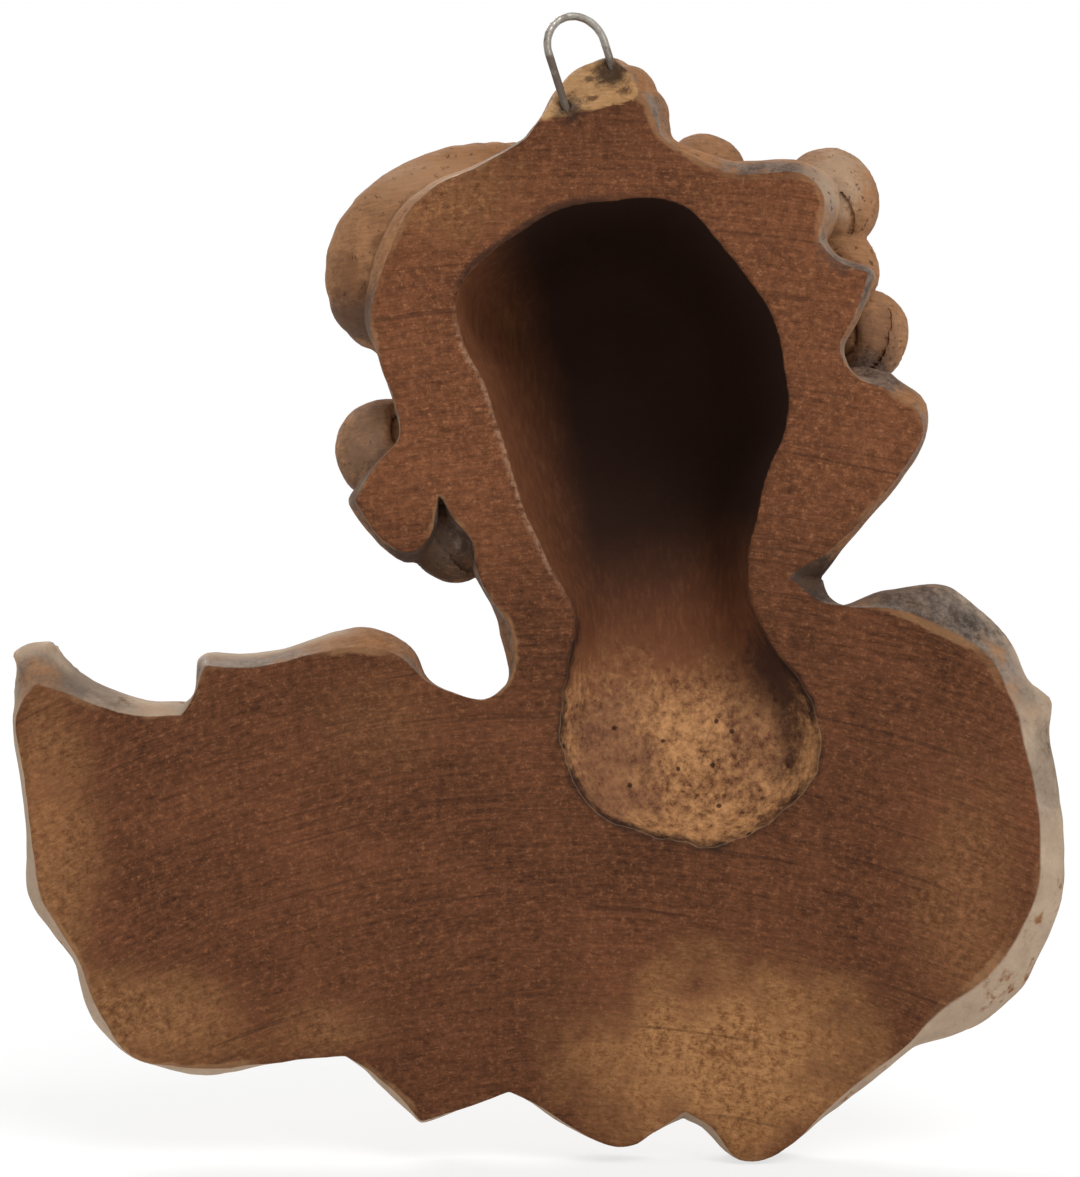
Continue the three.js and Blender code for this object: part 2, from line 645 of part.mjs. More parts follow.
function carving() {
  const edge = sampledEdge();
  const deep = 2 * headCentre[2];
  const outline = new THREE.Box3().setFromPoints(edge).expandByScalar(deep).getSize(new THREE.Vector3());
  const behind = new THREE.BoxGeometry(2 * outline.x, 2 * outline.y, deep).translate(0, 0, -deep / 2);
  return solid(board(edge, edgeHeight, 0))
    .add(wings(edge))
    .add(head())
    .add(solid(ellipsoid(sized(knobCentre), knobRadii)))
    .subtract(solid(behind))
    .subtract(solid(hollowCut()))
    .subtract(solid(bevelCut()))
    .subtract(solid(bentWire(legClearance)));
}

const wood = new THREE.MeshStandardMaterial({ color: 0x6b452e, roughness: 0.75, metalness: 0 });
const steel = new THREE.MeshStandardMaterial({ color: 0x5d5a55, roughness: 0.45, metalness: 0.9 });

function part(name, geometry, material) {
  const mesh = new THREE.Mesh(geometry, material);
  mesh.name = name;
  return mesh;
}

const angelHead = new THREE.Group();
angelHead.add(part('carved_body', geometryOf(carving()), wood));
angelHead.add(part('hanging_loop', bentWire(0), steel));
angelHead.rotation.x = Math.PI / 2;

export default angelHead;
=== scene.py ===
# Carved angel head between two wings, hung from a bent wire loop.
# The wood is carved as one piece from a field of distances and then stained,
# rubbed and worn; the wire loop is drawn along its own bent path.
import math

import bpy
import numpy as np
from mathutils import Euler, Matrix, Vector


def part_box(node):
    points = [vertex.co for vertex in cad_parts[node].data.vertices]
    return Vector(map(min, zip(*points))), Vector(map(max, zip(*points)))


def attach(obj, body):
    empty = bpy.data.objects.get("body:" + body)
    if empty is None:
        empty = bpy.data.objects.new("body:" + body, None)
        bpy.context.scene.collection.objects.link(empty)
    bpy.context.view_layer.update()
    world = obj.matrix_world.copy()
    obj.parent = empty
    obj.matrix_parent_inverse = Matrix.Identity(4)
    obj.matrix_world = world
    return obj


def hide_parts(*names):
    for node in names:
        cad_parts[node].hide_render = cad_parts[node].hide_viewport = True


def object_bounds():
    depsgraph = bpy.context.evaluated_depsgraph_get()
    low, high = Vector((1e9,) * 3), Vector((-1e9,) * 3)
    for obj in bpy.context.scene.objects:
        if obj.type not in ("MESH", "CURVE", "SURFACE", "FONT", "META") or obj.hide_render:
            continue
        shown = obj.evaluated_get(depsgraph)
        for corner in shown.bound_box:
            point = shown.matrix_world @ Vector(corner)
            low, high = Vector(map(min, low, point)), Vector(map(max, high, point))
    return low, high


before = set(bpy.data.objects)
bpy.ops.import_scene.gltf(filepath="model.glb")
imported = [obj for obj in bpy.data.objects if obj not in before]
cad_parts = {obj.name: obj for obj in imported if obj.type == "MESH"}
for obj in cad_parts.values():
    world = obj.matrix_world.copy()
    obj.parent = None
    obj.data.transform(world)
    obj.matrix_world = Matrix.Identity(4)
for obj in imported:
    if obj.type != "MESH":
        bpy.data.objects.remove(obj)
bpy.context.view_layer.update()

# The block
# One thick board of wood, sawn flat behind, that the whole figure is carved from
# with gouges. It lies on its back on the bench while it is worked.

# On the bench x is to the right, y up the figure and z above the back, in mm. The
# carving is kept as distances on a fine grid, below zero inside the wood.
GRID_STEP = 0.8
CLEAR = 5
FAR = 1000.0


def bench(corner):
    """A corner of the row's frame as it lies on the bench."""
    return np.array([corner.x, corner.z, -corner.y]) * 1000


body_low, body_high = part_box("carved_body")
block_low = np.minimum(bench(body_low), bench(body_high)) - CLEAR
block_high = np.maximum(bench(body_low), bench(body_high)) + CLEAR
axes = [np.arange(block_low[i], block_high[i] + GRID_STEP, GRID_STEP, dtype=np.float32) for i in range(3)]
x_columns = axes[0][:, None]
y_columns = axes[1][None, :]
field = np.full([len(axis) for axis in axes], FAR, np.float32)


def curve_through(points, spacing, closed=False):
    """Smooth curve through points, sampled at an even spacing."""
    points = np.asarray(points, float)
    if closed:
        padded = np.concatenate([points[-1:], points, points[:2]])
    else:
        padded = np.concatenate([[2 * points[0] - points[1]], points, [2 * points[-1] - points[-2]]])
    fine = []
    for p0, p1, p2, p3 in zip(padded, padded[1:], padded[2:], padded[3:]):
        gap0, gap1, gap2 = (math.sqrt(np.linalg.norm(b - a)) for a, b in ((p0, p1), (p1, p2), (p2, p3)))
        leave = gap1 * ((p1 - p0) / gap0 - (p2 - p0) / (gap0 + gap1) + (p2 - p1) / gap1)
        arrive = gap1 * ((p2 - p1) / gap1 - (p3 - p1) / (gap1 + gap2) + (p3 - p2) / gap2)
        t = np.linspace(0, 1, 24, endpoint=False)[:, None]
        fine.append(p1 + leave * t + (3 * (p2 - p1) - 2 * leave - arrive) * t ** 2
                    + (2 * (p1 - p2) + leave + arrive) * t ** 3)
    fine = np.concatenate([*fine, points[:1] if closed else points[-1:]])
    travelled = np.concatenate([[0], np.cumsum(np.linalg.norm(np.diff(fine, axis=0), axis=1))])
    stops = np.linspace(0, travelled[-1], max(2, round(travelled[-1] / spacing) + 1))
    return np.stack([np.interp(stops, travelled, fine[:, i]) for i in range(points.shape[1])], 1)


def unevenness(shape_axes, wavelength, seed):
    """Smooth random field of about unit size on the given axes, with one wavelength."""
    rng = np.random.default_rng(seed)
    weights = []
    for axis in shape_axes:
        place = (axis - axis[0]) / wavelength
        knots = np.arange(-1, int(place[-1]) + 4)
        away = np.abs(place[:, None] - knots[None, :])
        weights.append(np.where(away < 1, 2 / 3 - away ** 2 + away ** 3 / 2,
                                np.maximum(2 - away, 0) ** 3 / 6).astype(np.float32))
    rough = rng.standard_normal([w.shape[1] for w in weights]).astype(np.float32)
    for i, w in enumerate(weights):
        rough = np.moveaxis(np.tensordot(w, rough, axes=(1, i)), 0, i)
    return rough * 1.6


# Edge of the flat back, one list for each stretch between two corners, going
# round counterclockwise: x, y and how far the side stands out beyond it.
BACK_EDGE = [
    [[12.5, 190.5, 1.5], [9, 196, 1], [3.5, 203.5, 1.5], [-3, 208, 2.5], [-8.5, 208.5, 3],
     [-13.5, 203.5, 3.5], [-18, 197, 4.5], [-20.5, 191.5, 2.5]],
    [[-20.5, 191.5, 2.5], [-24, 188, 3], [-38.5, 181.5, 5], [-56, 181.5, 5], [-61, 177, 6], [-60, 165, 4]],
    [[-60, 165, 4], [-65, 160, 3], [-73, 157, 3]],
    [[-73, 157, 3], [-69, 145.5, 2], [-66, 138, 2], [-70, 130.5, 2], [-77, 127.5, 6]],
    [[-77, 127.5, 6], [-84.5, 122.5, 4.5], [-86.5, 116.5, 2], [-81, 108, 2.5], [-67, 91, 2.5],
     [-52, 81, 8]],
    [[-52, 81, 8], [-60, 74.5, 6], [-67, 73.5, 0], [-79, 72, 6], [-90, 67.5, 11.5], [-101, 61.5, 9],
     [-107, 51, 8.5], [-109, 46, 12.5], [-111, 39, 10], [-115, 16, 8.5], [-113.5, 0, 9.5],
     [-102, -17.5, 12], [-92, -26, 11], [-83, -36, 3.5]],
    [[-83, -36, 3.5], [-65.5, -49, 4], [-53, -62, 1], [-47.5, -65, 1], [-40.5, -65, 1], [-33, -56, 3],
     [-27, -52.5, 3.5]],
    [[-27, -52.5, 3.5], [-19, -58.5, 1], [-14.5, -61.5, 0.5], [-7.5, -61, 1], [4, -54, 2], [17, -48, 1]],
    [[17, -48, 1], [28, -52, 1], [39, -55, 2]],
    [[39, -55, 2], [45.5, -48, 3.5], [58, -39, 1]],
    [[58, -39, 1], [75, -40.5, 1], [95, -42.5, 3.5], [110, -39.5, 2], [119, -29, 4], [124, -14.5, 3.5],
     [133.5, 1, 5], [136.5, 20, 3], [138, 34, 3], [140, 44, 2.5], [138.5, 49, 4.5], [135, 52.5, 12]],
    [[135, 52.5, 12], [128.5, 51.5, 5], [119.5, 47, 4], [110, 45.2, 4], [99, 46, 2.5]],
    [[99, 46, 2.5], [96, 50.5, 1], [92.5, 58, 3.5]],
    [[92.5, 58, 3.5], [75, 58.5, 3.5], [66, 61, 4], [54, 62.5, 5.5], [45, 61, 3.5], [38, 55.5, -0.5],
     [31, 52, -1], [23, 49.8, -1], [17, 54.5, 0], [16, 67, 3.5], [21, 74.5, 1], [25, 83, 1], [26.5, 90, 1],
     [31, 95, 0.5], [34.3, 100.8, 0.2]],
    [[34.3, 100.8, 0.2], [36.3, 92, 1], [42, 87.5, 3], [48, 90, 2], [54.8, 100, 3]],
    [[54.8, 100, 3], [50, 109, 1], [44.5, 116, 0.5], [46, 125, 0.5], [50, 136, 0.5], [51.5, 145, 2],
     [48.5, 156, 4], [43, 170, 4], [37, 176.5, 3], [25, 183.5, 2], [12.5, 190.5, 1.5]],
]
FLARE_HEIGHT = 12
EDGE_SPACING = 1.6


def columns_to_line(line):
    """Signed distance of every grid column to a closed line, below zero inside it,
    and the third value of the line at the nearest point."""
    x = np.repeat(axes[0], len(axes[1]))
    y = np.tile(axes[1], len(axes[0]))
    nearest = np.full(len(x), np.inf, np.float32)
    value = np.zeros(len(x), np.float32)
    inside = np.zeros(len(x), bool)
    for a, b in zip(line.astype(np.float32), np.roll(line, -1, axis=0).astype(np.float32)):
        run = b - a
        share = np.clip(((x - a[0]) * run[0] + (y - a[1]) * run[1]) / (run[0] ** 2 + run[1] ** 2), 0, 1)
        away = (x - a[0] - share * run[0]) ** 2 + (y - a[1] - share * run[1]) ** 2
        closer = away < nearest
        nearest[closer] = away[closer]
        value[closer] = (a[2] + share * run[2])[closer]
        if a[1] != b[1]:
            inside ^= ((a[1] > y) != (b[1] > y)) & (x < a[0] + run[0] * (y - a[1]) / run[1])
    signed = np.where(inside, -np.sqrt(nearest), np.sqrt(nearest))
    shape = (len(axes[0]), len(axes[1]))
    return signed.reshape(shape), value.reshape(shape)


edge_line = np.concatenate([curve_through(stretch, EDGE_SPACING)[:-1] for stretch in BACK_EDGE])
edge_away, edge_flare = columns_to_line(edge_line)
edge_away += 0.35 * unevenness(axes[:2], 7, seed=3)


# The wings
# Both wings are low relief on the board: long flight feathers, two rows of coverts
# over their roots, and a rounded arm on top, cut with gouges and a veining tool.
EDGE_HEIGHT = 17
VANE_DISH = 2.2
VANE_TILT = 1.4
SHAFT_RISE = 0.9
BARB_RISE = 0.3
BARB_SLANT = 1.4
BARB_PITCH = 3.4
RIGHT_WING = {
    "arm": [[14, 40], [36, 54], [66, 55], [88, 51]],
    "roots": [[84, 47], [76, 36], [56, 24], [30, 16], [4, 8]],
    "tips": [[135, 60], [139, 34], [136, 10], [127, -11], [116, -31], [97, -41], [77, -41], [57, -41],
             [38, -54], [17, -49], [-6, -60]],
    "raised": 1,
    "width": 26,
}
LEFT_WING = {
    "arm": [[-44, 44], [-62, 62], [-84, 62], [-103, 50]],
    "roots": [[-104, 48], [-90, 44], [-70, 38], [-48, 28], [-30, 16]],
    "tips": [[-118, -4], [-108, -19], [-94, -31], [-80, -41], [-65, -51], [-48, -64], [-36, -60],
             [-19, -57]],
    "raised": -1,
    "width": 21,
}
RUFF_ROOTS = [[-58, 46], [-46, 34], [-24, 26], [-4, 30], [10, 40]]
RUFF_TIPS = [[-62, 16], [-42, 2], [-20, -8], [0, 0], [20, 14]]
ALULA = [[-92, 60], [-121.5, 45]]
ALULA_WIDTH = 17
# Heights of a feather at its root and tip, and the widths of each row but the flight
# feathers. Coverts reach beyond their roots; those on the arm lie across it.
FLIGHT_HEIGHTS = (23, 18.5)
COVERT_HEIGHTS = (27, 22.5)
COVERT_WIDTH = 20
COVERT_REACH = 27
ARM_COVERT_HEIGHTS = (30, 26)
ARM_COVERT_WIDTH = 15
ARM_COVERT_SPAN = (-4, 17)
ALULA_HEIGHTS = (24, 20)
RUFF_ROWS = [
    {"count": 7, "width": 18, "share": 1, "heights": (31, 26)},
    {"count": 8, "width": 14, "share": 0.45, "heights": (35, 31)},
]
ARM_RADIUS = 9.5
ARM_HEIGHT = 24
ARM_RISE = 8.5
SLIT_REACH = 5
SLIT_DEPTH = 2.2
# Swellings of the board along the arms and under the ruff: height and reach.
ARM_SWELL = (9, 24)
RUFF_SWELL = (6, 22)
RELIEF_TOP = 48


def columns_to_curve(curve):
    """Distance of every grid column to an open curve."""
    nearest = np.full(edge_away.shape, np.inf, np.float32)
    for a, b in zip(curve, curve[1:]):
        run = b - a
        share = np.clip(((x_columns - a[0]) * run[0] + (y_columns - a[1]) * run[1]) / (run @ run), 0, 1)
        away = (x_columns - a[0] - share * run[0]) ** 2 + (y_columns - a[1] - share * run[1]) ** 2
        nearest = np.minimum(nearest, away)
    return np.sqrt(nearest)


relief = EDGE_HEIGHT + 0.5 * unevenness(axes[:2], 9, seed=5)
swellings = [(RIGHT_WING["arm"], *ARM_SWELL), (LEFT_WING["arm"], *ARM_SWELL), (RUFF_ROOTS, *RUFF_SWELL)]
for line, swell, reach in swellings:
    relief += swell * np.exp(-(columns_to_curve(curve_through(line, 4)) / reach) ** 2)


def raise_feather(root, tip, width, heights, raised=0.0, bow=0.0):
    """Raise one feather in the relief: a dished vane, one long side higher than the
    other, a shaft that runs out towards the tip, and slanting barbs."""
    global relief
    root = np.asarray(root[:2], float)
    tip = np.asarray(tip[:2], float)
    length = np.linalg.norm(tip - root)
    along = (tip - root) / length
    u = (x_columns - root[0]) * along[0] + (y_columns - root[1]) * along[1]
    t = u / length
    v = (y_columns - root[1]) * along[0] - (x_columns - root[0]) * along[1] - 4 * bow * t * (1 - t)
    half = width / 2 * np.clip(0.66 + 0.8 * t, 0, 1) * np.sqrt(1 - np.clip((t - 0.78) / 0.22, 0, 1) ** 2)
    side = v / np.maximum(half, 0.01)
    vane = heights[0] + (heights[1] - heights[0]) * t
    vane = vane + VANE_DISH * (1 - np.abs(side) ** 2.5) + VANE_TILT * raised * side
    shaft = SHAFT_RISE * np.exp(-v ** 2) * (1 - t)
    barbs = BARB_RISE * np.cos(2 * math.pi * (u - BARB_SLANT * np.abs(v)) / BARB_PITCH)
    on_feather = (t > 0) & (t < 1) & (np.abs(side) < 1)
    relief = np.where(on_feather, np.maximum(relief, vane + shaft + barbs), relief)


def spread(points, count):
    """Points at even shares along a smooth curve."""
    curve = curve_through(points, 1)
    return curve[np.linspace(0, len(curve) - 1, count).round().astype(int)]


def join(a, b, blend):
    """Union of two distances with a rounded inner corner."""
    share = np.clip(0.5 + 0.5 * (b - a) / blend, 0, 1)
    return b + (a - b) * share - blend * share * (1 - share)


def meet(a, b, blend):
    """What is inside both, with a rounded outer corner."""
    return -join(-a, -b, blend)


def raise_wing(arm, roots, tips, raised, width):
    """Raise the flight feathers, then two rows of coverts, then the rounded arm."""
    global relief
    count = len(tips)
    tips = np.asarray(tips, float)
    flight_roots = spread(roots, count)
    for root, tip in zip(flight_roots, tips):
        raise_feather(root, tip, width, FLIGHT_HEIGHTS, raised, -2 * raised)
    middles = spread(roots, count - 2)
    pointing = spread(tips, count - 2) - middles
    pointing /= np.linalg.norm(pointing, axis=1)[:, None]
    for from_arm, root, toward in zip(spread(arm[::-1], count - 2), middles, pointing):
        raise_feather(0.7 * from_arm + 0.3 * root, root + COVERT_REACH * toward,
                      COVERT_WIDTH, COVERT_HEIGHTS, raised, -raised)
    for from_arm, root in zip(spread(arm[::-1], count), flight_roots):
        away = root - from_arm
        away /= np.linalg.norm(away)
        start, end = (from_arm + reach * away for reach in ARM_COVERT_SPAN)
        raise_feather(start, end, ARM_COVERT_WIDTH, ARM_COVERT_HEIGHTS, raised)
    rounded = columns_to_curve(curve_through(arm, 3))
    ridge = ARM_HEIGHT + ARM_RISE * np.sqrt(np.clip(1 - (rounded / ARM_RADIUS) ** 2, 0, None))
    relief = np.where(rounded < ARM_RADIUS, -join(-relief, -ridge, 2.5), relief)


raise_wing(**RIGHT_WING)
raise_wing(**LEFT_WING)
raise_feather(*ALULA, ALULA_WIDTH, ALULA_HEIGHTS, -1)
for row in RUFF_ROWS:
    for root, tip in zip(spread(RUFF_ROOTS, row["count"]), spread(RUFF_TIPS, row["count"])):
        end = (1 - row["share"]) * root + row["share"] * tip
        raise_feather(root, end, row["width"], row["heights"])


def blurred(grid, reach):
    """Mean of a grid over a box of the given reach."""
    k = max(1, round(reach / GRID_STEP))
    for axis in range(grid.ndim):
        n = grid.shape[axis]
        total = np.cumsum(grid, axis=axis, dtype=np.float64)
        total = np.concatenate([np.zeros_like(np.take(total, [0], axis)), total], axis)
        high = np.minimum(np.arange(n) + k + 1, n)
        low = np.maximum(np.arange(n) - k, 0)
        spans = (high - low).reshape([-1 if i == axis else 1 for i in range(grid.ndim)])
        grid = (np.take(total, high, axis) - np.take(total, low, axis)) / spans
    return grid.astype(np.float32)


def window(low, high):
    """Slices of the grid that cover a box, and the coordinates in it."""
    cuts = tuple(slice(*np.searchsorted(axes[i], [low[i], high[i]])) for i in range(3))
    x, y, z = (axes[i][cuts[i]] for i in range(3))
    return cuts, x[:, None, None], y[None, :, None], z[None, None, :]


relief = np.maximum(relief, blurred(relief, SLIT_REACH) - SLIT_DEPTH)
relief = 0.5 * relief + 0.5 * blurred(relief, 0.8)
dips = blurred(relief, 2.4) - relief

cuts, x, y, z = window([-FAR] * 3, [FAR, FAR, RELIEF_TOP])
flare_share = 1 - (1 - np.clip(z / FLARE_HEIGHT, 0, 1)) ** 2
sides = edge_away[:, :, None] - edge_flare[:, :, None] * flare_share
field[cuts] = meet(sides, z - relief[:, :, None], 1.6)


# The head
# A child's round head with full cheeks and a calm, lowered look, leaning to one
# side and stooped a little forward. Every form is blended into its neighbours.
HEAD_CENTRE = np.array([-13.5, 125, 42])
HEAD_TURN = np.array(Euler((math.radians(6), 0, math.radians(-9.4))).to_matrix())
# Forms of the face, across, up and forward from the head's middle: where each is, its
# half sizes, and how softly it runs into the rest. Those off the middle are in pairs.
SKULL = ([0, 2, 0], [49, 60, 43])
MASSES = {
    "forehead": ([0, 20, 8], [40, 34, 36], 8),
    "cheeks": ([22, -25, 16], [23, 22, 26], 12),
    "muzzle": ([0, -35, 27], [17, 14, 17], 10),
    "chin": ([0, -51, 27], [12.5, 9.5, 13], 6),
    "double_chin": ([0, -57, 12], [26, 12, 18], 6),
}
EYE_SOCKETS = ([16.5, -1, 50], [12.5, 8.5, 10.5])
BROWS = [[5.5, 5, 42.5], [11, 9, 42.5], [19, 10.5, 39.5], [28, 6.5, 33]]
BROW_RADIUS = 2.6
EYES = [17, -4, 30]
EYE_RADIUS = 11
LID_RADIUS = 12.8
LID_CREASES = [[7.5, -1, 42], [12, 3, 41.5], [18, 4.2, 40.8], [25, 1.5, 37.5]]
NOSE_BRIDGE = ([0, 5, 40], [0, -14, 46.5], 3.8, 4.3)
NOSE = {"tip": ([0, -20, 47.5], [5.2, 4.8, 6], 3), "wings": ([5.4, -22.3, 44.5], [3.7, 3.5, 4.4], 2)}
NOSTRILS = ([2.9, -25.4, 47.2], [1.7, 1.5, 2.2])
LIP_GROOVE = ([0, -27.5, 48], [0, -31, 47.5], 1.6)
LIPS = {"upper": ([3.7, -34.2, 43.6], [6, 2.5, 3.6], 2), "lower": ([0, -38.8, 42.6], [6.6, 3, 4], 2)}
MOUTH = [[0, -36.5, 47.2], [4.5, -36.2, 46.2], [8.5, -35.4, 43], [10.5, -34.6, 40.5]]
CHIN_GROOVE = ([0, -44, 45], [7, 2.2, 4])


def head_window(low, high):
    """Part of the grid that covers a box in the head's own frame, and the
    coordinates there: across, up and forward."""
    ends = list(zip(low, high))
    corners = np.array([[a, b, c] for a in ends[0] for b in ends[1] for c in ends[2]])
    corners = corners @ HEAD_TURN.T + HEAD_CENTRE
    cuts, *place = window(corners.min(axis=0), corners.max(axis=0))
    from_centre = [np.float32(axis - middle) for axis, middle in zip(place, HEAD_CENTRE)]
    turn = HEAD_TURN.astype(np.float32)
    return cuts, [turn[0, i] * from_centre[0] + turn[1, i] * from_centre[1] + turn[2, i] * from_centre[2]
                  for i in range(3)]


def egg(p, centre, radii):
    """Distance to an ellipsoid."""
    scaled = [(p[i] - centre[i]) / radii[i] for i in range(3)]
    reach = np.sqrt(scaled[0] ** 2 + scaled[1] ** 2 + scaled[2] ** 2)
    slope = np.sqrt(sum((s / r) ** 2 for s, r in zip(scaled, radii)))
    return reach * (reach - 1) / np.maximum(slope, 1e-4)


def rod(p, start, end, radius, end_radius=None):
    """Distance to a round rod with its own radius at each end."""
    end_radius = radius if end_radius is None else end_radius
    run = np.subtract(end, start)
    share = sum((p[i] - start[i]) * run[i] for i in range(3)) / (run @ run)
    share = np.clip(share, 0, 1)
    away = np.sqrt(sum((p[i] - start[i] - share * run[i]) ** 2 for i in range(3)))
    return away - radius - (end_radius - radius) * share


def cut(a, b, blend):
    """What is left of a after b is taken out."""
    return meet(a, -b, blend)


def chain(p, points, radius):
    """Distance to a bent rod."""
    return np.minimum.reduce([rod(p, a, b, radius) for a, b in zip(points, points[1:])])


cuts, p = head_window([-56, -74, -50], [56, 66, 62])
pair = [np.abs(p[0]), p[1], p[2]]
head = egg(pair, *SKULL)
for middle, half_sizes, blend in MASSES.values():
    head = join(head, egg(pair, middle, half_sizes), blend)
head = cut(head, egg(pair, *EYE_SOCKETS), 6)
head = join(head, chain(pair, BROWS, BROW_RADIUS), 5)
# Each eyeball lies under lids that leave a narrow slit, closed at both corners.
eye = [pair[i] - EYES[i] for i in range(3)]
eye_away = np.sqrt(eye[0] ** 2 + eye[1] ** 2 + eye[2] ** 2)
slit = np.abs(eye[1] + 2.2 - 0.022 * eye[0] ** 2) - 2.6 * (1 - (eye[0] / 10.5) ** 2)
head = join(head, eye_away - EYE_RADIUS, 1)
head = join(head, np.maximum(eye_away - LID_RADIUS, -slit * 0.9), 0.8)
head = cut(head, chain(pair, LID_CREASES, 0.9), 1.2)
head = join(head, rod(p, *NOSE_BRIDGE), 5)
for middle, half_sizes, blend in NOSE.values():
    head = join(head, egg(pair, middle, half_sizes), blend)
head = cut(head, egg(pair, *NOSTRILS), 1)
head = cut(head, rod(p, *LIP_GROOVE), 2)
for middle, half_sizes, blend in LIPS.values():
    head = join(head, egg(pair, middle, half_sizes), blend)
head = cut(head, chain(pair, MOUTH, 0.8), 0.8)
head = cut(head, egg(pair, *CHIN_GROOVE), 3)
field[cuts] = join(field[cuts], head, 3)

NECK_CENTRE = [-22, 52, 20]
NECK_RADII = [30, 30, 20]
cuts, *place = window(np.subtract(NECK_CENTRE, 34), np.add(NECK_CENTRE, 34))
field[cuts] = join(field[cuts], egg(place, NECK_CENTRE, NECK_RADII), 5)


# The hair
# Thick curly hair round the face, cut as locks that roll up into snails, with fine
# grooves along every lock. A long smooth lock lies along one side of the head.
HAIR_HALF_WIDTH = 54
HAIR_HALF_HEIGHT = 64
HAIR_DEPTH = 28
HAIR_LOCKS = 24
HAIR_GROOVE = 1.5
CROWN_CURLS = {"count": 9, "spread": 112, "across": 51, "up": 57, "forward": 4, "radius": 15, "lift": 0.6}
BROW_CURLS = {"count": 9, "spread": 106, "across": 42, "up": 48, "forward": 23, "radius": 12, "lift": 0.8}
OUTER_CURLS = [[64.5, -4, -20, 15], [51, -29.5, -22, 13], [-60.5, 42.5, -22, 14.5], [-65, 8, -9, 13.5],
               [-59, -15, -25, 12.5], [-37, -45, -17, 12.5], [-29, 54, -22, 12.5], [53, 24, -14, 11],
               [-60.5, 24, -20, 11.5]]
SIDE_LOCK = [[14, 64, -22], [36.5, 60.5, -21], [56, 51, -20], [62, 36, -20], [54, 24, -18]]
LOCK_RADIUS = 12.5


def smoothstep(value, low, high):
    t = np.clip((value - low) / (high - low), 0, 1)
    return t * t * (3 - 2 * t)


cuts, p = head_window([-60, -72, -56], [60, 72, 36])
round_head = np.sqrt((p[0] / HAIR_HALF_WIDTH) ** 2 + (p[1] / HAIR_HALF_HEIGHT) ** 2)
bearing = np.arctan2(p[0] / HAIR_HALF_WIDTH, p[1] / HAIR_HALF_HEIGHT)
column = (round_head - 0.93 - 0.07 * smoothstep(p[2], -21, 0)) * HAIR_HALF_WIDTH
dome = egg(p, [0, 0, 0], [HAIR_HALF_WIDTH, HAIR_HALF_HEIGHT, HAIR_DEPTH])
locks = np.abs(np.sin(HAIR_LOCKS * bearing + 0.8 * np.sin(p[2] / 6 + 5 * bearing)))
hair = np.where(p[2] > 0, dome, column) + HAIR_GROOVE * (1 - locks)
field[cuts] = join(field[cuts], hair, 1.5)


def roll_curl(centre, radius, axis, start, hand):
    """One lock rolled up into a snail that faces along an axis."""
    axis = np.asarray(axis, float) / np.linalg.norm(axis)
    first = np.cross([0.3, 0.5, -1.0], axis)
    first /= np.linalg.norm(first)
    second = np.cross(axis, first)
    cuts, p = head_window(np.subtract(centre, 1.2 * radius), np.add(centre, 1.2 * radius))
    place = [p[i] - np.float32(centre[i]) for i in range(3)]
    a, b, c = (sum(np.float32(way[i]) * place[i] for i in range(3)) for way in (first, second, axis))
    out = np.sqrt(a ** 2 + b ** 2)
    turns = out / (0.4 * radius) + (hand * np.arctan2(b, a) - start) / (2 * math.pi)
    across = turns - np.floor(turns)
    roundness = np.sqrt(np.clip(1 - (2 * across - 1) ** 2, 0, None))
    strands = 0.22 * np.cos(6 * math.pi * across) * np.clip(out / radius, 0, 1)
    ball = egg([a, b, c], [0, 0, -0.1 * radius], [0.95 * radius, 0.95 * radius, 0.8 * radius])
    field[cuts] = join(field[cuts], ball + 0.15 * radius * (1 - roundness) + strands, 1)


def roll_row(count, spread, across, up, forward, radius, lift):
    """Roll a row of curls round the top of the head, from ear to ear."""
    for i in range(count):
        share = 2 * i / (count - 1) - 1
        angle = math.radians(share * spread)
        outward = np.array([math.sin(angle), math.cos(angle), 0])
        axis = math.sqrt(1 - lift ** 2) * outward + [0, 0, lift]
        centre = [across * outward[0], up * outward[1], forward]
        roll_curl(centre, radius * (1 + 0.06 * math.sin(7 * i)), axis, angle, 1 if share < 0 else -1)


roll_row(**CROWN_CURLS)
roll_row(**BROW_CURLS)
for i, (across, up, forward, radius) in enumerate(OUTER_CURLS):
    outward = np.array([across, up]) / math.hypot(across, up)
    axis = [0.8 * outward[0], 0.8 * outward[1], 0.6]
    roll_curl([across, up, forward], radius, axis, i, 1 if i % 2 else -1)

route = curve_through(SIDE_LOCK, 5)
cuts, p = head_window(route.min(axis=0) - 14, route.max(axis=0) + 14)
thickness = LOCK_RADIUS * np.sin(math.pi * (0.15 + 0.7 * np.linspace(0, 1, len(route))))
lock = np.full(field[cuts].shape, FAR, np.float32)
strand = np.zeros(lock.shape, np.float32)
for i, (start, end) in enumerate(zip(route, route[1:])):
    stretch = rod(p, start, end, thickness[i], thickness[i + 1])
    run = (end - start) / np.linalg.norm(end - start)
    outward = (p[0] - start[0]) * run[1] - (p[1] - start[1]) * run[0]
    around = np.arctan2(p[2] - start[2], outward)
    along = sum((p[k] - start[k]) * run[k] for k in range(3)) + 5 * i
    closer = stretch < lock
    lock = np.where(closer, stretch, lock)
    groove = 2.2 * (1 - np.abs(np.sin(2 * around + along / 15))) ** 1.6
    groove *= 0.2 + 0.8 * smoothstep(p[2] - start[2], -3, 4)
    strand = np.where(closer, groove, strand)
field[cuts] = join(field[cuts], lock + strand, 1.5)


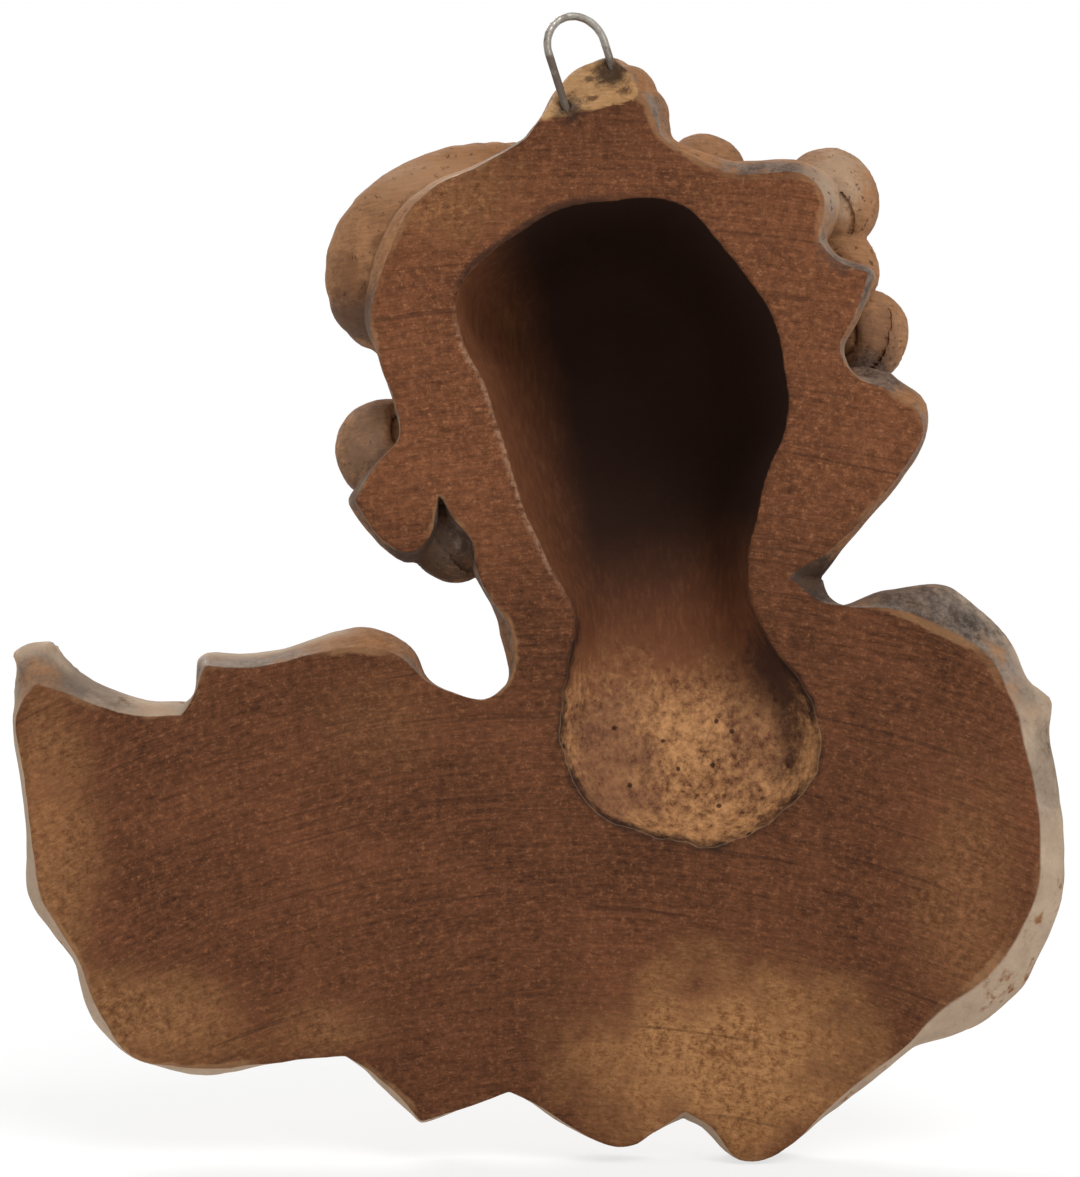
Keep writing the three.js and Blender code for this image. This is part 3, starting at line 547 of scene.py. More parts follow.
# The knob and the hollow
# A tuft of hair stands above the head as a knob, bevelled behind for the hanger.
# The back is sawn flat, and the head is scooped out to save weight and splitting.
KNOB_CENTRE = [-8.5, 196, 14]
KNOB_RADII = [15, 16.5, 16]
BEVEL_FROM = np.array([-14.5, 200.5])
BEVEL_TO = np.array([9.4, 195.2])
HOLLOW_RIM = [
    [28.8, 155], [18, 165], [4.3, 172.5], [-10.8, 175.5], [-25.8, 174.3], [-34.5, 166.3], [-44.5, 153.8],
    [-49.5, 145], [-52.8, 126.3], [-51.5, 115], [-47, 102.5], [-42.8, 85], [-43.3, 75], [-48.3, 65],
    [-55.8, 55], [-61.3, 41.3], [-59.5, 30], [-52, 22], [-42, 15.5], [-32, 13], [-18.3, 16.3],
    [-7, 19.5], [0.5, 28.8], [4.3, 45], [1.3, 62.5], [1.3, 72.5], [6.8, 85], [13, 97.5],
    [21.8, 125], [30.5, 147.5],
]
HOLLOW_SPINE = np.array([[-10, 140], [-30, 38]])
HEAD_DEPTH = 58
LOWER_DEPTH = 13
SAW_CENTRE = [-1.25, -244]
LOOP_CENTRE = np.array([0, 214.2, 6])
LOOP_RADIUS = 8.1
LOOP_LEAN = math.radians(17.5)
LOOP_TURN = math.radians(25)
LEG_REACH = 24
LEG_HOLE_RADIUS = 1.35
KNOB_TUFTS = 9
SAW_PITCH = 4.4

leg_up = np.array([math.sin(LOOP_LEAN), math.cos(LOOP_LEAN), 0])
loop_across = np.array([math.cos(LOOP_LEAN), -math.sin(LOOP_LEAN), 0]) * math.cos(LOOP_TURN)
loop_across = loop_across - [0, 0, math.sin(LOOP_TURN)]


def in_loop(across, up):
    """Point of the wire loop, measured from the middle of its eye."""
    return LOOP_CENTRE + across * loop_across + up * leg_up


LEG_ENTRIES = [[-8.8, 208], [2.3, 198]]
BEVEL_CHIPS = [[-3.2, 206.8], [-3.5, 200.8], [-12, 202.5]]
LEG_FEET = [in_loop(side * LOOP_RADIUS, -LEG_REACH) for side in (1, -1)]
LEG_TOPS = [in_loop(side * LOOP_RADIUS, 0) for side in (1, -1)]

cuts, *place = window(np.subtract(KNOB_CENTRE, 20), np.add(KNOB_CENTRE, 20))
knob = egg(place, KNOB_CENTRE, KNOB_RADII)
tuft = np.arctan2(place[0] - KNOB_CENTRE[0], place[1] - KNOB_CENTRE[1] + 12)
knob = knob + 0.9 * (1 - np.abs(np.sin(KNOB_TUFTS * tuft + place[2] / 7)))
field[cuts] = join(field[cuts], knob, 3)

# Small unevenness left by the gouges, all over what has been carved so far.
field += 0.16 * unevenness(axes, 5, seed=11)
field += 0.1 * unevenness(axes, 2.2, seed=12)

for foot, eye_end in zip(LEG_FEET, LEG_TOPS):
    cuts, *place = window(np.minimum(foot, eye_end) - 4, np.maximum(foot, eye_end) + 4)
    field[cuts] = np.maximum(field[cuts], -rod(place, foot, eye_end, LEG_HOLE_RADIUS))

bevel_run = (BEVEL_TO - BEVEL_FROM) / np.linalg.norm(BEVEL_TO - BEVEL_FROM)
cuts, x, y, z = window(np.subtract(KNOB_CENTRE, 30), np.add(KNOB_CENTRE, 30))


def bevel_depth(x, y):
    """How deep the bevel lies below the flat back; it turns up at one end."""
    above = (y - BEVEL_FROM[1]) * bevel_run[0] - (x - BEVEL_FROM[0]) * bevel_run[1]
    return join(above, 1.2 * (x - BEVEL_FROM[0] + 1), 4)


field[cuts] = np.maximum(field[cuts], (bevel_depth(x, y) - z) * math.sqrt(0.5))

# The scoop is steep at its rim, rounded along its spine and pitted where it is shallow.
rim_line = np.pad(curve_through(HOLLOW_RIM, EDGE_SPACING, closed=True)[:-1], ((0, 0), (0, 1)))
rim_away, _ = columns_to_line(rim_line)
lower = 1 - smoothstep(y_columns, 48, 84)
rim_away += 0.35 * unevenness(axes[:2], 6, seed=21) + 0.35 * lower * unevenness(axes[:2], 2.4, seed=25)
inward = np.clip(-rim_away, 0, None)
inward = inward / (inward + columns_to_curve(HOLLOW_SPINE) + 0.01)
full_depth = LOWER_DEPTH + (HEAD_DEPTH - LOWER_DEPTH) * smoothstep(y_columns, 35, 125)
depth = full_depth * (1 - (1 - inward) ** 5.5)
pits = 0.5 * unevenness(axes[:2], 3.2, seed=22) + 0.35 * unevenness(axes[:2], 1.7, seed=23)
waves = 0.5 * unevenness(axes[:2], 8, seed=24)
depth = depth + smoothstep(-rim_away, 2, 6) * (lower * pits + (1 - lower) * waves)
slope = np.gradient(depth, GRID_STEP)
slope = np.sqrt(1 + slope[0] ** 2 + slope[1] ** 2)
cuts, x, y, z = window([-FAR] * 3, [FAR, FAR, HEAD_DEPTH + 12])
scoop = np.maximum((z - depth[:, :, None]) / slope[:, :, None], rim_away[:, :, None])
field[cuts] = np.maximum(field[cuts], -scoop)

# The saw has cut the back flat and left its marks across it.
saw_radius = np.hypot(x_columns - SAW_CENTRE[0], y_columns - SAW_CENTRE[1])
saw_marks = 0.07 * np.sin(2 * math.pi * saw_radius / SAW_PITCH) + 0.09 * unevenness(axes[:2], 3.5, seed=31)
cuts, x, y, z = window([-FAR] * 3, [FAR, FAR, 20])
field[cuts] = np.maximum(field[cuts], saw_marks[:, :, None] - z)


# The finished carving
# Dark stain on the sawn back and a thin grey ground on the carved front, both worn and
# dusty. The mesh is the skin of the wood, and its points keep what the finish needs.
SKIN_TRIANGLES = 186000


def skin_of(distances):
    """Points and quads of the surface where a grid of distances changes sign."""
    inside = distances < 0
    shape = np.array(inside.shape)
    steps = [(i, j, k) for i in (0, 1) for j in (0, 1) for k in (0, 1)]
    count = sum(inside[i:shape[0] - 1 + i, j:shape[1] - 1 + j, k:shape[2] - 1 + k].astype(np.int8)
                for i, j, k in steps)
    mixed = (count > 0) & (count < 8)
    cells = np.argwhere(mixed)
    number = np.full(mixed.shape, -1, np.int32)
    number[mixed] = np.arange(len(cells))
    total = np.zeros((len(cells), 3))
    hits = np.zeros((len(cells), 1))
    for start in steps:
        for axis in range(3):
            if start[axis]:
                continue
            a = cells + start
            b = a.copy()
            b[:, axis] += 1
            near = distances[tuple(a.T)]
            far = distances[tuple(b.T)]
            crossing = (near < 0) != (far < 0)
            share = near[crossing] / (near[crossing] - far[crossing])
            spot = a[crossing].astype(float)
            spot[:, axis] += share
            total[crossing] += spot
            hits[crossing] += 1
    quads = []
    for axis in range(3):
        u, v = (axis + 1) % 3, (axis + 2) % 3
        low = [slice(None)] * 3
        low[axis] = slice(0, -1)
        high = [slice(None)] * 3
        high[axis] = slice(1, None)
        solid_first = inside[tuple(low)] & ~inside[tuple(high)]
        solid_last = ~inside[tuple(low)] & inside[tuple(high)]
        for changes, order in ((solid_first, (0, 1, 2, 3)), (solid_last, (3, 2, 1, 0))):
            edges = np.argwhere(changes)
            around = []
            for du, dv in ((1, 1), (0, 1), (0, 0), (1, 0)):
                cell = edges.copy()
                cell[:, u] -= du
                cell[:, v] -= dv
                around.append(number[tuple(cell.T)])
            quads.append(np.stack([around[i] for i in order], 1))
    return total / hits, np.concatenate(quads)


points, quads = skin_of(field)
origin = np.array([axis[0] for axis in axes])
on_bench = origin + points * GRID_STEP
in_row = np.stack([on_bench[:, 0], -on_bench[:, 2], on_bench[:, 1]], 1) / 1000
mesh = bpy.data.meshes.new("carved_angel_head")
mesh.vertices.add(len(in_row))
mesh.vertices.foreach_set("co", in_row.ravel())
mesh.loops.add(quads.size)
mesh.loops.foreach_set("vertex_index", quads.ravel())
mesh.polygons.add(len(quads))
mesh.polygons.foreach_set("loop_start", np.arange(0, quads.size, 4))
mesh.update(calc_edges=True)
carving = bpy.data.objects.new("carved_angel_head", mesh)
bpy.context.collection.objects.link(carving)
thinning = carving.modifiers.new("thinning", "DECIMATE")
thinning.ratio = min(1, SKIN_TRIANGLES / (2 * len(quads)))
bpy.context.view_layer.objects.active = carving
bpy.ops.object.modifier_apply(modifier=thinning.name)
mesh = carving.data
mesh.polygons.foreach_set("use_smooth", np.ones(len(mesh.polygons), bool))
mesh.set_sharp_from_angle(angle=math.radians(40))

in_row = np.empty(3 * len(mesh.vertices))
mesh.vertices.foreach_get("co", in_row)
in_row = in_row.reshape(-1, 3) * 1000
on_bench = np.stack([in_row[:, 0], in_row[:, 2], -in_row[:, 1]], 1)
nearest = np.rint((on_bench - origin) / GRID_STEP).astype(int)
nearest = np.clip(nearest, 0, np.array(field.shape) - 1)
occupied = (field < 0).astype(np.float32)
in_head = (on_bench - HEAD_CENTRE) @ HEAD_TURN
face_oval = (in_head[:, 0] / 40) ** 2 + ((in_head[:, 1] + 14) / 52) ** 2
hairy = smoothstep(face_oval + 2 * (in_head[:, 2] < 8), 0.9, 1.2) * smoothstep(in_head[:, 1], -75, -60)
hairy *= smoothstep(np.hypot(in_head[:, 0] / 92, in_head[:, 1] / 98), 1.05, 0.95)
in_rim = -rim_away[tuple(nearest[:, :2].T)]
above_bevel = bevel_depth(on_bench[:, 0], on_bench[:, 1])
below_relief = relief[tuple(nearest[:, :2].T)] - on_bench[:, 2]
off_floor = on_bench[:, 2] - depth[tuple(nearest[:, :2].T)]
kept = {
    "crevice": blurred(occupied, 2.2)[tuple(nearest.T)],
    "shelter": blurred(occupied, 8)[tuple(nearest.T)],
    "dip": dips[tuple(nearest[:, :2].T)] * smoothstep(np.abs(below_relief), 2.5, 1.2),
    "hair": hairy,
    "rim": in_rim,
    "hollow": smoothstep(in_rim, -2.4, -1.4) * (1 - smoothstep(off_floor, 8, 12)),
    "edge": -edge_away[tuple(nearest[:, :2].T)],
    "bevel": (1 - smoothstep(np.abs(above_bevel - on_bench[:, 2]), 0.5, 1.1)) * (above_bevel > -0.5),
}
for name, values in kept.items():
    mesh.attributes.new(name, "FLOAT", "POINT").data.foreach_set("value", values.astype(np.float32))

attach(carving, "root")
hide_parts("carved_body")


class Value:
    """A socket of a node tree that takes part in arithmetic."""

    def __init__(self, tree, socket):
        self.tree = tree
        self.socket = socket

    def math(self, operation, first, second):
        return self.tree.node("ShaderNodeMath", {"operation": operation}, {0: first, 1: second})

    def __add__(self, other):
        return self.math("ADD", self, other)

    def __radd__(self, other):
        return self.math("ADD", other, self)

    def __sub__(self, other):
        return self.math("SUBTRACT", self, other)

    def __rsub__(self, other):
        return self.math("SUBTRACT", other, self)

    def __mul__(self, other):
        return self.math("MULTIPLY", self, other)

    def __rmul__(self, other):
        return self.math("MULTIPLY", other, self)

    def __truediv__(self, other):
        return self.math("DIVIDE", self, other)

    def __rtruediv__(self, other):
        return self.math("DIVIDE", other, self)

    def __pow__(self, other):
        return self.math("POWER", self, other)

    def __rpow__(self, other):
        return self.math("POWER", other, self)


class Tree:
    """The nodes of a material or a world, written as expressions."""

    def __init__(self, owner, shader, **constants):
        owner.use_nodes = True
        self.owner = owner
        self.nodes = owner.node_tree.nodes
        self.links = owner.node_tree.links
        self.shader = self.nodes[shader]
        for name, value in constants.items():
            self.input(name).default_value = value

    def input(self, name):
        """Socket of the shader by its name in small letters."""
        return self.shader.inputs[name.replace("_", " ").title().replace("Ior", "IOR")]

    def node(self, kind, settings=None, inputs=None, output=0):
        """Add a node with its settings, and the values or links of its sockets."""
        made = self.nodes.new(kind)
        for key, value in (settings or {}).items():
            setattr(made, key, value)
        for key, value in (inputs or {}).items():
            if isinstance(value, Value):
                self.links.new(value.socket, made.inputs[key])
            else:
                made.inputs[key].default_value = value
        return Value(self, made.outputs[output])

    def put(self, height=None, **values):
        """Link values to the shader; height is in mm and goes through a bump."""
        for name, value in values.items():
            self.links.new(value.socket, self.input(name))
        if height is not None:
            bump = self.node("ShaderNodeBump", None, {"Distance": 0.001, "Height": height})
            self.links.new(bump.socket, self.input("normal"))


class Finish(Tree):
    """The finish of a piece, laid out by its place in mm."""

    def __init__(self, name, **constants):
        super().__init__(bpy.data.materials.new(name), "Principled BSDF", **constants)
        position = self.node("ShaderNodeTexCoord", output="Object")
        self.place = self.node("ShaderNodeVectorMath", {"operation": "SCALE"}, {0: position, "Scale": 1000})
        self.x, self.y, self.z = (self.node("ShaderNodeSeparateXYZ", inputs={0: self.place}, output=i)
                                  for i in range(3))

    def kept(self, name):
        """A value that is kept with the points of the mesh."""
        return self.node("ShaderNodeAttribute", {"attribute_name": name}, output="Fac")

    def noise(self, size, detail=2, roughness=0.5, place=None):
        """Noise from 0 to 1 with spots of about the given size in mm."""
        return self.node("ShaderNodeTexNoise", None, {"Vector": place or self.place, "Scale": 1 / size,
                                                      "Detail": detail, "Roughness": roughness})

    def band(self, value, low, high):
        """0 below low and 1 above high, smooth between; the other way if low is higher."""
        up = low < high
        settings = {"interpolation_type": "SMOOTHSTEP"}
        return self.node("ShaderNodeMapRange", settings,
                         {"Value": value, "From Min": min(low, high), "From Max": max(low, high),
                          "To Min": 0.0 if up else 1.0, "To Max": 1.0 if up else 0.0})

    def mix(self, share, first, second):
        """A colour between two, each a link or red, green and blue."""
        colours = [c if isinstance(c, Value) else (*c, 1) for c in (first, second)]
        return self.node("ShaderNodeMix", {"data_type": "RGBA"},
                         {"Factor": share, 6: colours[0], 7: colours[1]}, output=2)

    def patch(self, x, z, wide, tall, ragged):
        """1 in the middle of a ragged oval, 0 outside it."""
        across = (self.x - x) / wide
        up = (self.z - z) / tall
        away = (across * across + up * up) ** 0.5
        return self.band(away + 3.6 * (ragged - 0.5), 1.25, 0.35)

    def spots(self, places, ragged):
        """Ragged ovals together: strength, middle, half width and half height of each."""
        return sum(share * self.patch(*place, ragged) for share, *place in places)

    def spread_out(self, *scaled):
        """A place that is stretched differently along its three parts."""
        return self.node("ShaderNodeCombineXYZ", None, dict(enumerate(scaled)))


wood = Finish("stained_wood", specular_ior_level=0.12)
on_back = wood.band(wood.y, -1.0, -0.4)
hollow = wood.kept("hollow") * (1 - on_back)
crevice = wood.kept("crevice")
shelter = wood.kept("shelter")
inside_rim = wood.kept("rim")
inside_edge = wood.kept("edge")
speck = wood.noise(2.2, 5, 0.8)
grit = wood.noise(0.7, 2, 0.6)
mottle = wood.noise(16, 5, 0.62)
cloud = wood.noise(42, 3)

# Saw and growth lines: arcs about a point far below, broken into streaks.
FINE_SAW_PITCH = 2.35

from_x = wood.x - SAW_CENTRE[0]
from_z = wood.z - SAW_CENTRE[1]
ring = (from_x * from_x + from_z * from_z) ** 0.5 + 2.4 * (cloud - 0.5)
round_arc = wood.node("ShaderNodeMath", {"operation": "ARCTAN2"}, {0: from_x, 1: from_z}) * 300
streak = wood.noise(1, 4, 0.65, wood.spread_out(ring * 0.85, round_arc * 0.045, wood.y * 0.3))
fibre = wood.noise(1, 2, 0.6, wood.spread_out(ring * 1.5, round_arc * 0.3, wood.y * 0.5))
dash = wood.noise(1, 3, 0.7, wood.spread_out(ring * 1.4, round_arc * 0.4, wood.y * 0.5))
growth = wood.noise(1, 1, 0.5, wood.spread_out(ring * 0.55, round_arc * 0.014, 3.7))
growth_line = wood.band(growth, 0.67, 0.74)
saw = wood.node("ShaderNodeMath", {"operation": "SINE"}, {0: ring * (2 * math.pi / FINE_SAW_PITCH)})

# Stained back, flecked all over, with paler patches where the stain has worn off.
WORN_SPOTS = [
    [0.9, -37, -41, 40, 27],
    [0.42, 134, 8, 15, 50],
    [0.45, 108, -30, 27, 15],
    [0.12, 50, 44, 18, 14],
    [0.25, 62, -32, 15, 9],
    [0.22, -96, 0, 15, 36],
    [0.3, 37, 176, 24, 14],
]
GREY_SPOTS = [[0.6, -66, 163, 8, 5]]
DARK_STAIN = (0.040, 0.0142, 0.0062)
PALE_STAIN = (0.195, 0.071, 0.030)
FLECK = (0.32, 0.138, 0.061)
DARK_WORN = (0.165, 0.065, 0.022)
PALE_WORN = (0.47, 0.235, 0.094)
GROWTH_LINE = (0.022, 0.009, 0.0055)
GREY_SPOT = (0.06, 0.045, 0.038)
BARE_EDGE = (0.34, 0.18, 0.085)
RIM_EDGE_SHADE = (0.022, 0.010, 0.007)
RUBBED_LIT_RIM = (0.36, 0.215, 0.135)
DARK_LEDGE = (0.03, 0.014, 0.010)

up_head = wood.band(wood.z, 72, 112) * wood.band(wood.z, 205, 165)
tone = 0.42 + 0.8 * (streak - 0.5) + 0.8 * (fibre - 0.5) + (1.2 + 0.7 * up_head) * (speck - 0.5)
tone = tone + 0.6 * (mottle - 0.5) + 0.7 * (cloud - 0.5) + 0.02 * saw + 0.24 * up_head
sawn = wood.mix(tone, DARK_STAIN, PALE_STAIN)
fleck = wood.band(0.55 * speck + 0.45 * dash + 0.4 * (grit - 0.5), 0.50, 0.72)
sawn = wood.mix(fleck * (0.5 + 0.4 * up_head), sawn, FLECK)
ragged = 0.6 * mottle + 0.4 * speck
wear = wood.spots(WORN_SPOTS, ragged)
worn = wood.mix(0.5 + 3.4 * (speck - 0.5) + 1.4 * (dash - 0.5) + 1.2 * (mottle - 0.5),
                DARK_WORN, PALE_WORN)
sawn = wood.mix(wear, sawn, worn)
dark_speck = wood.band(wood.noise(1.6, 3, 0.75), 0.37, 0.26)
sawn = wood.mix(dark_speck * 0.5 + 0.34 * growth_line, sawn, GROWTH_LINE)
sawn = wood.mix(wood.spots(GREY_SPOTS, ragged), sawn, GREY_SPOT)
edge_wear = wood.band(inside_edge + 2.5 * (mottle - 0.5), 1.3, 0.2) * wood.band(wood.noise(26, 3), 0.46, 0.6)
sawn = wood.mix(edge_wear * 0.5, sawn, BARE_EDGE)
# Painted shadow: a dark broken line along the lower rim of the hollow, where the step down into it lies in
# shade.
rim_edge_shade = wood.band(inside_rim + 1.6 * (speck - 0.5), -1.3, -0.1)
broken = wood.band(wood.noise(13, 3), 0.40, 0.60)
sawn = wood.mix(rim_edge_shade * broken * wood.band(wood.z, 74, 56) * 0.7, sawn, RIM_EDGE_SHADE)
# Pale line along one side of the upper rim: worn edge together with a painted highlight where the rim
# catches the light.
rubbed_lit_rim = wood.band(inside_rim, -1.6, -0.2) * wood.band(wood.z, 70, 90) * wood.band(wood.z, 152, 138)
rubbed_lit_rim = rubbed_lit_rim * wood.band(wood.x, -12, 4) * wood.band(speck, 0.36, 0.56)
sawn = wood.mix(rubbed_lit_rim * 0.6, sawn, RUBBED_LIT_RIM)
ledge = wood.band(inside_rim + 2.4 * (mottle - 0.5), -2.0, -0.6) * wood.band(wood.z, 146, 156)
sawn = wood.mix(ledge * wood.band(wood.x, -22, 2) * 0.75, sawn, DARK_LEDGE)

# Hollow: dark stain made near black by painted shade in the head, brown with painted light
# on the wall and the slope that the light reaches, bare and pitted at its lower end.
DEEP_WALL_IN_SHADE = (0.026, 0.0105, 0.0062)
LIT_WALL = (0.165, 0.058, 0.025)
PALE_GRAIN = (0.25, 0.098, 0.043)
DARK_GRAIN = (0.055, 0.020, 0.010)
DARK_FLOOR = (0.13, 0.05, 0.022)
PALE_FLOOR = (0.53, 0.265, 0.11)
SMEAR = (0.15, 0.06, 0.034)
PIT = (0.03, 0.012, 0.007)
SHADED_WALL = (0.045, 0.019, 0.012)
RIM_GAP_SHADOW = (0.024, 0.010, 0.007)
SMEARS = [[1, -9, 32, 14, 26], [0.6, -48, 44, 12, 22]]
SHADED_SPOTS = [[0.9, -50, 49, 11, 24]]

(spine_x, spine_z), (foot_x, foot_z) = HOLLOW_SPINE.tolist()
spine_lean = (spine_x - foot_x) / (spine_z - foot_z)
from_spine = wood.x - spine_x - spine_lean * (wood.z - spine_z)
grain = wood.noise(1, 4, 0.65, wood.spread_out(wood.x * 0.8, wood.z * 0.12, wood.y * 0.3))
pitting = wood.noise(2.4, 5, 0.78)
# Painted light and shade: lit is 1 on the wall and the lower slope that the light reaches, and 0 in the
# painted shade deeper in the head.
lit = wood.band(from_spine + 8 * (mottle - 0.5), 12, 33) * wood.band(wood.z, 176, 150)
lit = lit + (1 - lit) * wood.band(wood.z + 14 * (mottle - 0.5) + 0.25 * from_spine, 98, 52)
in_head_tone = wood.mix(lit, DEEP_WALL_IN_SHADE, LIT_WALL)
in_head_tone = wood.mix(lit * wood.band(grain, 0.45, 0.7) * 0.45, in_head_tone, PALE_GRAIN)
in_head_tone = wood.mix(lit * wood.band(grain, 0.46, 0.3) * 0.45, in_head_tone, DARK_GRAIN)
floor_tone = wood.mix(0.5 + 3.6 * (pitting - 0.5) + 1.8 * (mottle - 0.5), DARK_FLOOR, PALE_FLOOR)
smear = wood.spots(SMEARS, ragged)
floor_tone = wood.mix(smear * 0.6, floor_tone, SMEAR)
pits = wood.node("ShaderNodeTexVoronoi", None, {"Vector": wood.place, "Scale": 1 / 6.5}, output="Distance")
pit = wood.band(pits + 0.08 * (pitting - 0.5), 0.14, 0.08)
floor_tone = wood.mix(wood.band(pitting, 0.40, 0.28) * 0.6 + 0.9 * pit, floor_tone, PIT)
bare_floor = wood.band(wood.z + 30 * (mottle - 0.5) + 26 * (grain - 0.5), 66, 44)
scooped = wood.mix(bare_floor, in_head_tone, floor_tone)
shaded_wall = wood.spots(SHADED_SPOTS, ragged) * wood.band(inside_rim, 13, 5)
scooped = wood.mix(shaded_wall, scooped, SHADED_WALL)
# Painted shadow: a dark ragged line just inside the lower rim, in the gap where the floor steps down.
rim_gap_shadow = wood.band(inside_rim + 3.2 * (speck - 0.5) + 2 * (mottle - 0.5), 2.2, 0.6)
rim_gap_shadow = rim_gap_shadow * wood.band(wood.z, 82, 62) * (0.35 + 0.6 * broken)
scooped = wood.mix(rim_gap_shadow, scooped, RIM_GAP_SHADOW)

# Greyed and darkened spots, then spots rubbed pale, on the sides seen from behind: strength,
# middle, half width and half height, and a colour where it isn't dust. One dark spot is painted shade.
GREYED_AND_SHADED = [
    [0.85, -86, 70, 24, 14, None],
    [0.45, -117, 31, 7, 17, None],
    [0.6, 125, 55, 15, 9, (0.12, 0.085, 0.063)],
    [0.75, 55, 146, 12, 8, (0.07, 0.052, 0.043)],
    [0.55, 54, 110, 10, 17, (0.11, 0.075, 0.058)],
    [0.6, 57, 157, 6, 13, (0.12, 0.050, 0.024)],
    # Painted shade: the dark undercut beneath the lowest curl on this side.
    [0.85, 36, 88, 18, 15, (0.045, 0.026, 0.018)],
    [0.85, -57, 80, 10, 9, (0.035, 0.024, 0.019)],
    [0.5, -78, 143, 7, 9, (0.15, 0.075, 0.046)],
    [0.8, -75, 131, 8, 8, None],
]
RUBBED = [
    [0.5, 32, 182, 20, 9, (0.46, 0.27, 0.15)],
    [0.5, -66, 180, 9, 11, (0.52, 0.38, 0.26)],
]

# Carved front: brown wood under the worn remains of a pale grey ground, grey with dust close
# to the wall, dark with dirt and painted shade in the crevices, and rubbed bare on what stands out.
DARK_BARE = (0.125, 0.049, 0.020)
PALE_BARE = (0.42, 0.20, 0.084)
DARK_GROUND = (0.26, 0.18, 0.123)
PALE_GROUND = (0.52, 0.395, 0.28)
RUBBED_WOOD = (0.44, 0.235, 0.115)
DARK_DUST = (0.055, 0.041, 0.034)
PALE_DUST = (0.25, 0.195, 0.157)
CRACK = (0.06, 0.032, 0.02)
RIDGE_HIGHLIGHT = (0.52, 0.38, 0.26)
DIP_SHADE = (0.085, 0.046, 0.028)
DIRT_AND_SHADE = (0.050, 0.025, 0.015)
HAIR_SPECK = (0.055, 0.024, 0.012)
CLEAN_SPOTS = [[56, 67, 26, 9], [46, 164, 14, 24]]

hair_here = wood.kept("hair")
bare = wood.mix(0.5 + 0.9 * (fibre - 0.5) + 1.1 * (mottle - 0.5) + 0.8 * (speck - 0.5),
                DARK_BARE, PALE_BARE)
ground = wood.mix(wood.noise(7, 4, 0.65), DARK_GROUND, PALE_GROUND)
cover = wood.band(mottle + 0.45 * (speck - 0.5) - 1.1 * (crevice - 0.5), 0.30, 0.44) * (1 - 0.9 * hair_here)
front = wood.mix(cover, bare, ground)
rubbed = wood.band(crevice, 0.45, 0.33)
front = wood.mix(rubbed * 0.35, front, RUBBED_WOOD)
by_wall = wood.band(wood.y + 6 * (mottle - 0.5), -9, -3.5) * wood.band(wood.z, 40, 58)
dusty = wood.band(wood.noise(15, 3, 0.6), 0.38, 0.56)
for place in CLEAN_SPOTS:
    dusty = dusty * (1 - wood.patch(*place, ragged))
smudge = 0.45 + 2.6 * (speck - 0.5) + 2.8 * (mottle - 0.5)
dust = wood.mix(smudge, DARK_DUST, PALE_DUST)
front = wood.mix(by_wall * 0.85, front, wood.mix(dusty, bare, dust))
near_back = wood.band(wood.y + 8 * (mottle - 0.5), -34, -24)
for share, *place, tint in GREYED_AND_SHADED + RUBBED:
    front = wood.mix(share * near_back * wood.patch(*place, ragged), front, tint or dust)
sway = wood.node("ShaderNodeTexNoise", None, {"Vector": wood.place, "Scale": 0.12}, output="Color")
sway = wood.node("ShaderNodeVectorMath", {"operation": "SCALE"}, {0: sway, "Scale": 14})
crack_place = wood.node("ShaderNodeVectorMath", {"operation": "ADD"}, {0: wood.place, 1: sway})
crack_away = wood.node("ShaderNodeTexVoronoi", {"feature": "DISTANCE_TO_EDGE"},
                       {"Vector": crack_place, "Scale": 1 / 19})
crack = wood.band(crack_away, 0.018, 0.005) * wood.band(wood.noise(24, 2), 0.56, 0.66)
crack = crack * (1 - hair_here) * (1 - hollow) * wood.band(wood.y, -10, -16)
front = wood.mix(crack * 0.6, front, CRACK)
# Painted shade in the dips between carved forms, and a painted highlight on the ridges beside them, the
# ridges also rubbed a little paler.
dip = wood.kept("dip") + 0.5 * (speck - 0.5)
front = wood.mix(wood.band(dip, -0.1, -0.7) * 0.3, front, RIDGE_HIGHLIGHT)
front = wood.mix(wood.band(dip, 0.05, 0.6) * 0.85, front, DIP_SHADE)
# Dirt and painted shade together: darker in crevices and sheltered hollows, less on the foremost parts of
# the face and near the back.
dirt_and_shade = wood.band(crevice + 0.16 * (speck - 0.5), 0.53, 0.68) + 0.6 * wood.band(shelter, 0.55, 0.75)
dirt_and_shade = dirt_and_shade * (1 - 0.5 * wood.band(wood.y, -50, -62) * (1 - hair_here))
front = wood.mix(wood.band(dirt_and_shade, 0.0, 1.1) * (1 - 0.7 * wood.band(wood.y, -34, -20)), front, DIRT_AND_SHADE)
hair_speck = wood.band(wood.noise(1.9, 3, 0.7), 0.40, 0.31)
front = wood.mix(hair_speck * (0.15 + 0.6 * hair_here), front, HAIR_SPECK)

# Bevel: fresh bare wood, chipped, and stained dark where the wire goes in.
DARK_FRESH = (0.24, 0.115, 0.048)
PALE_FRESH = (0.56, 0.325, 0.14)
CHIP = (0.09, 0.038, 0.018)
LEG_STAIN = (0.032, 0.017, 0.011)
LEG_STAIN_ON_BACK = (0.026, 0.013, 0.009)

bevel = wood.kept("bevel")
fresh = wood.mix(0.5 + 0.6 * (fibre - 0.5) + 1.4 * (speck - 0.5) + 0.8 * (mottle - 0.5),
                 DARK_FRESH, PALE_FRESH)
for chip in BEVEL_CHIPS:
    fresh = wood.mix(wood.patch(*chip, 1.9, 1.3, speck) * 0.8, fresh, CHIP)
for leg in LEG_ENTRIES:
    stain = wood.patch(*leg, 4.4, 4.4, ragged)
    fresh = wood.mix(stain * 0.9, fresh, LEG_STAIN)
    sawn = wood.mix(stain * 0.8, sawn, LEG_STAIN_ON_BACK)

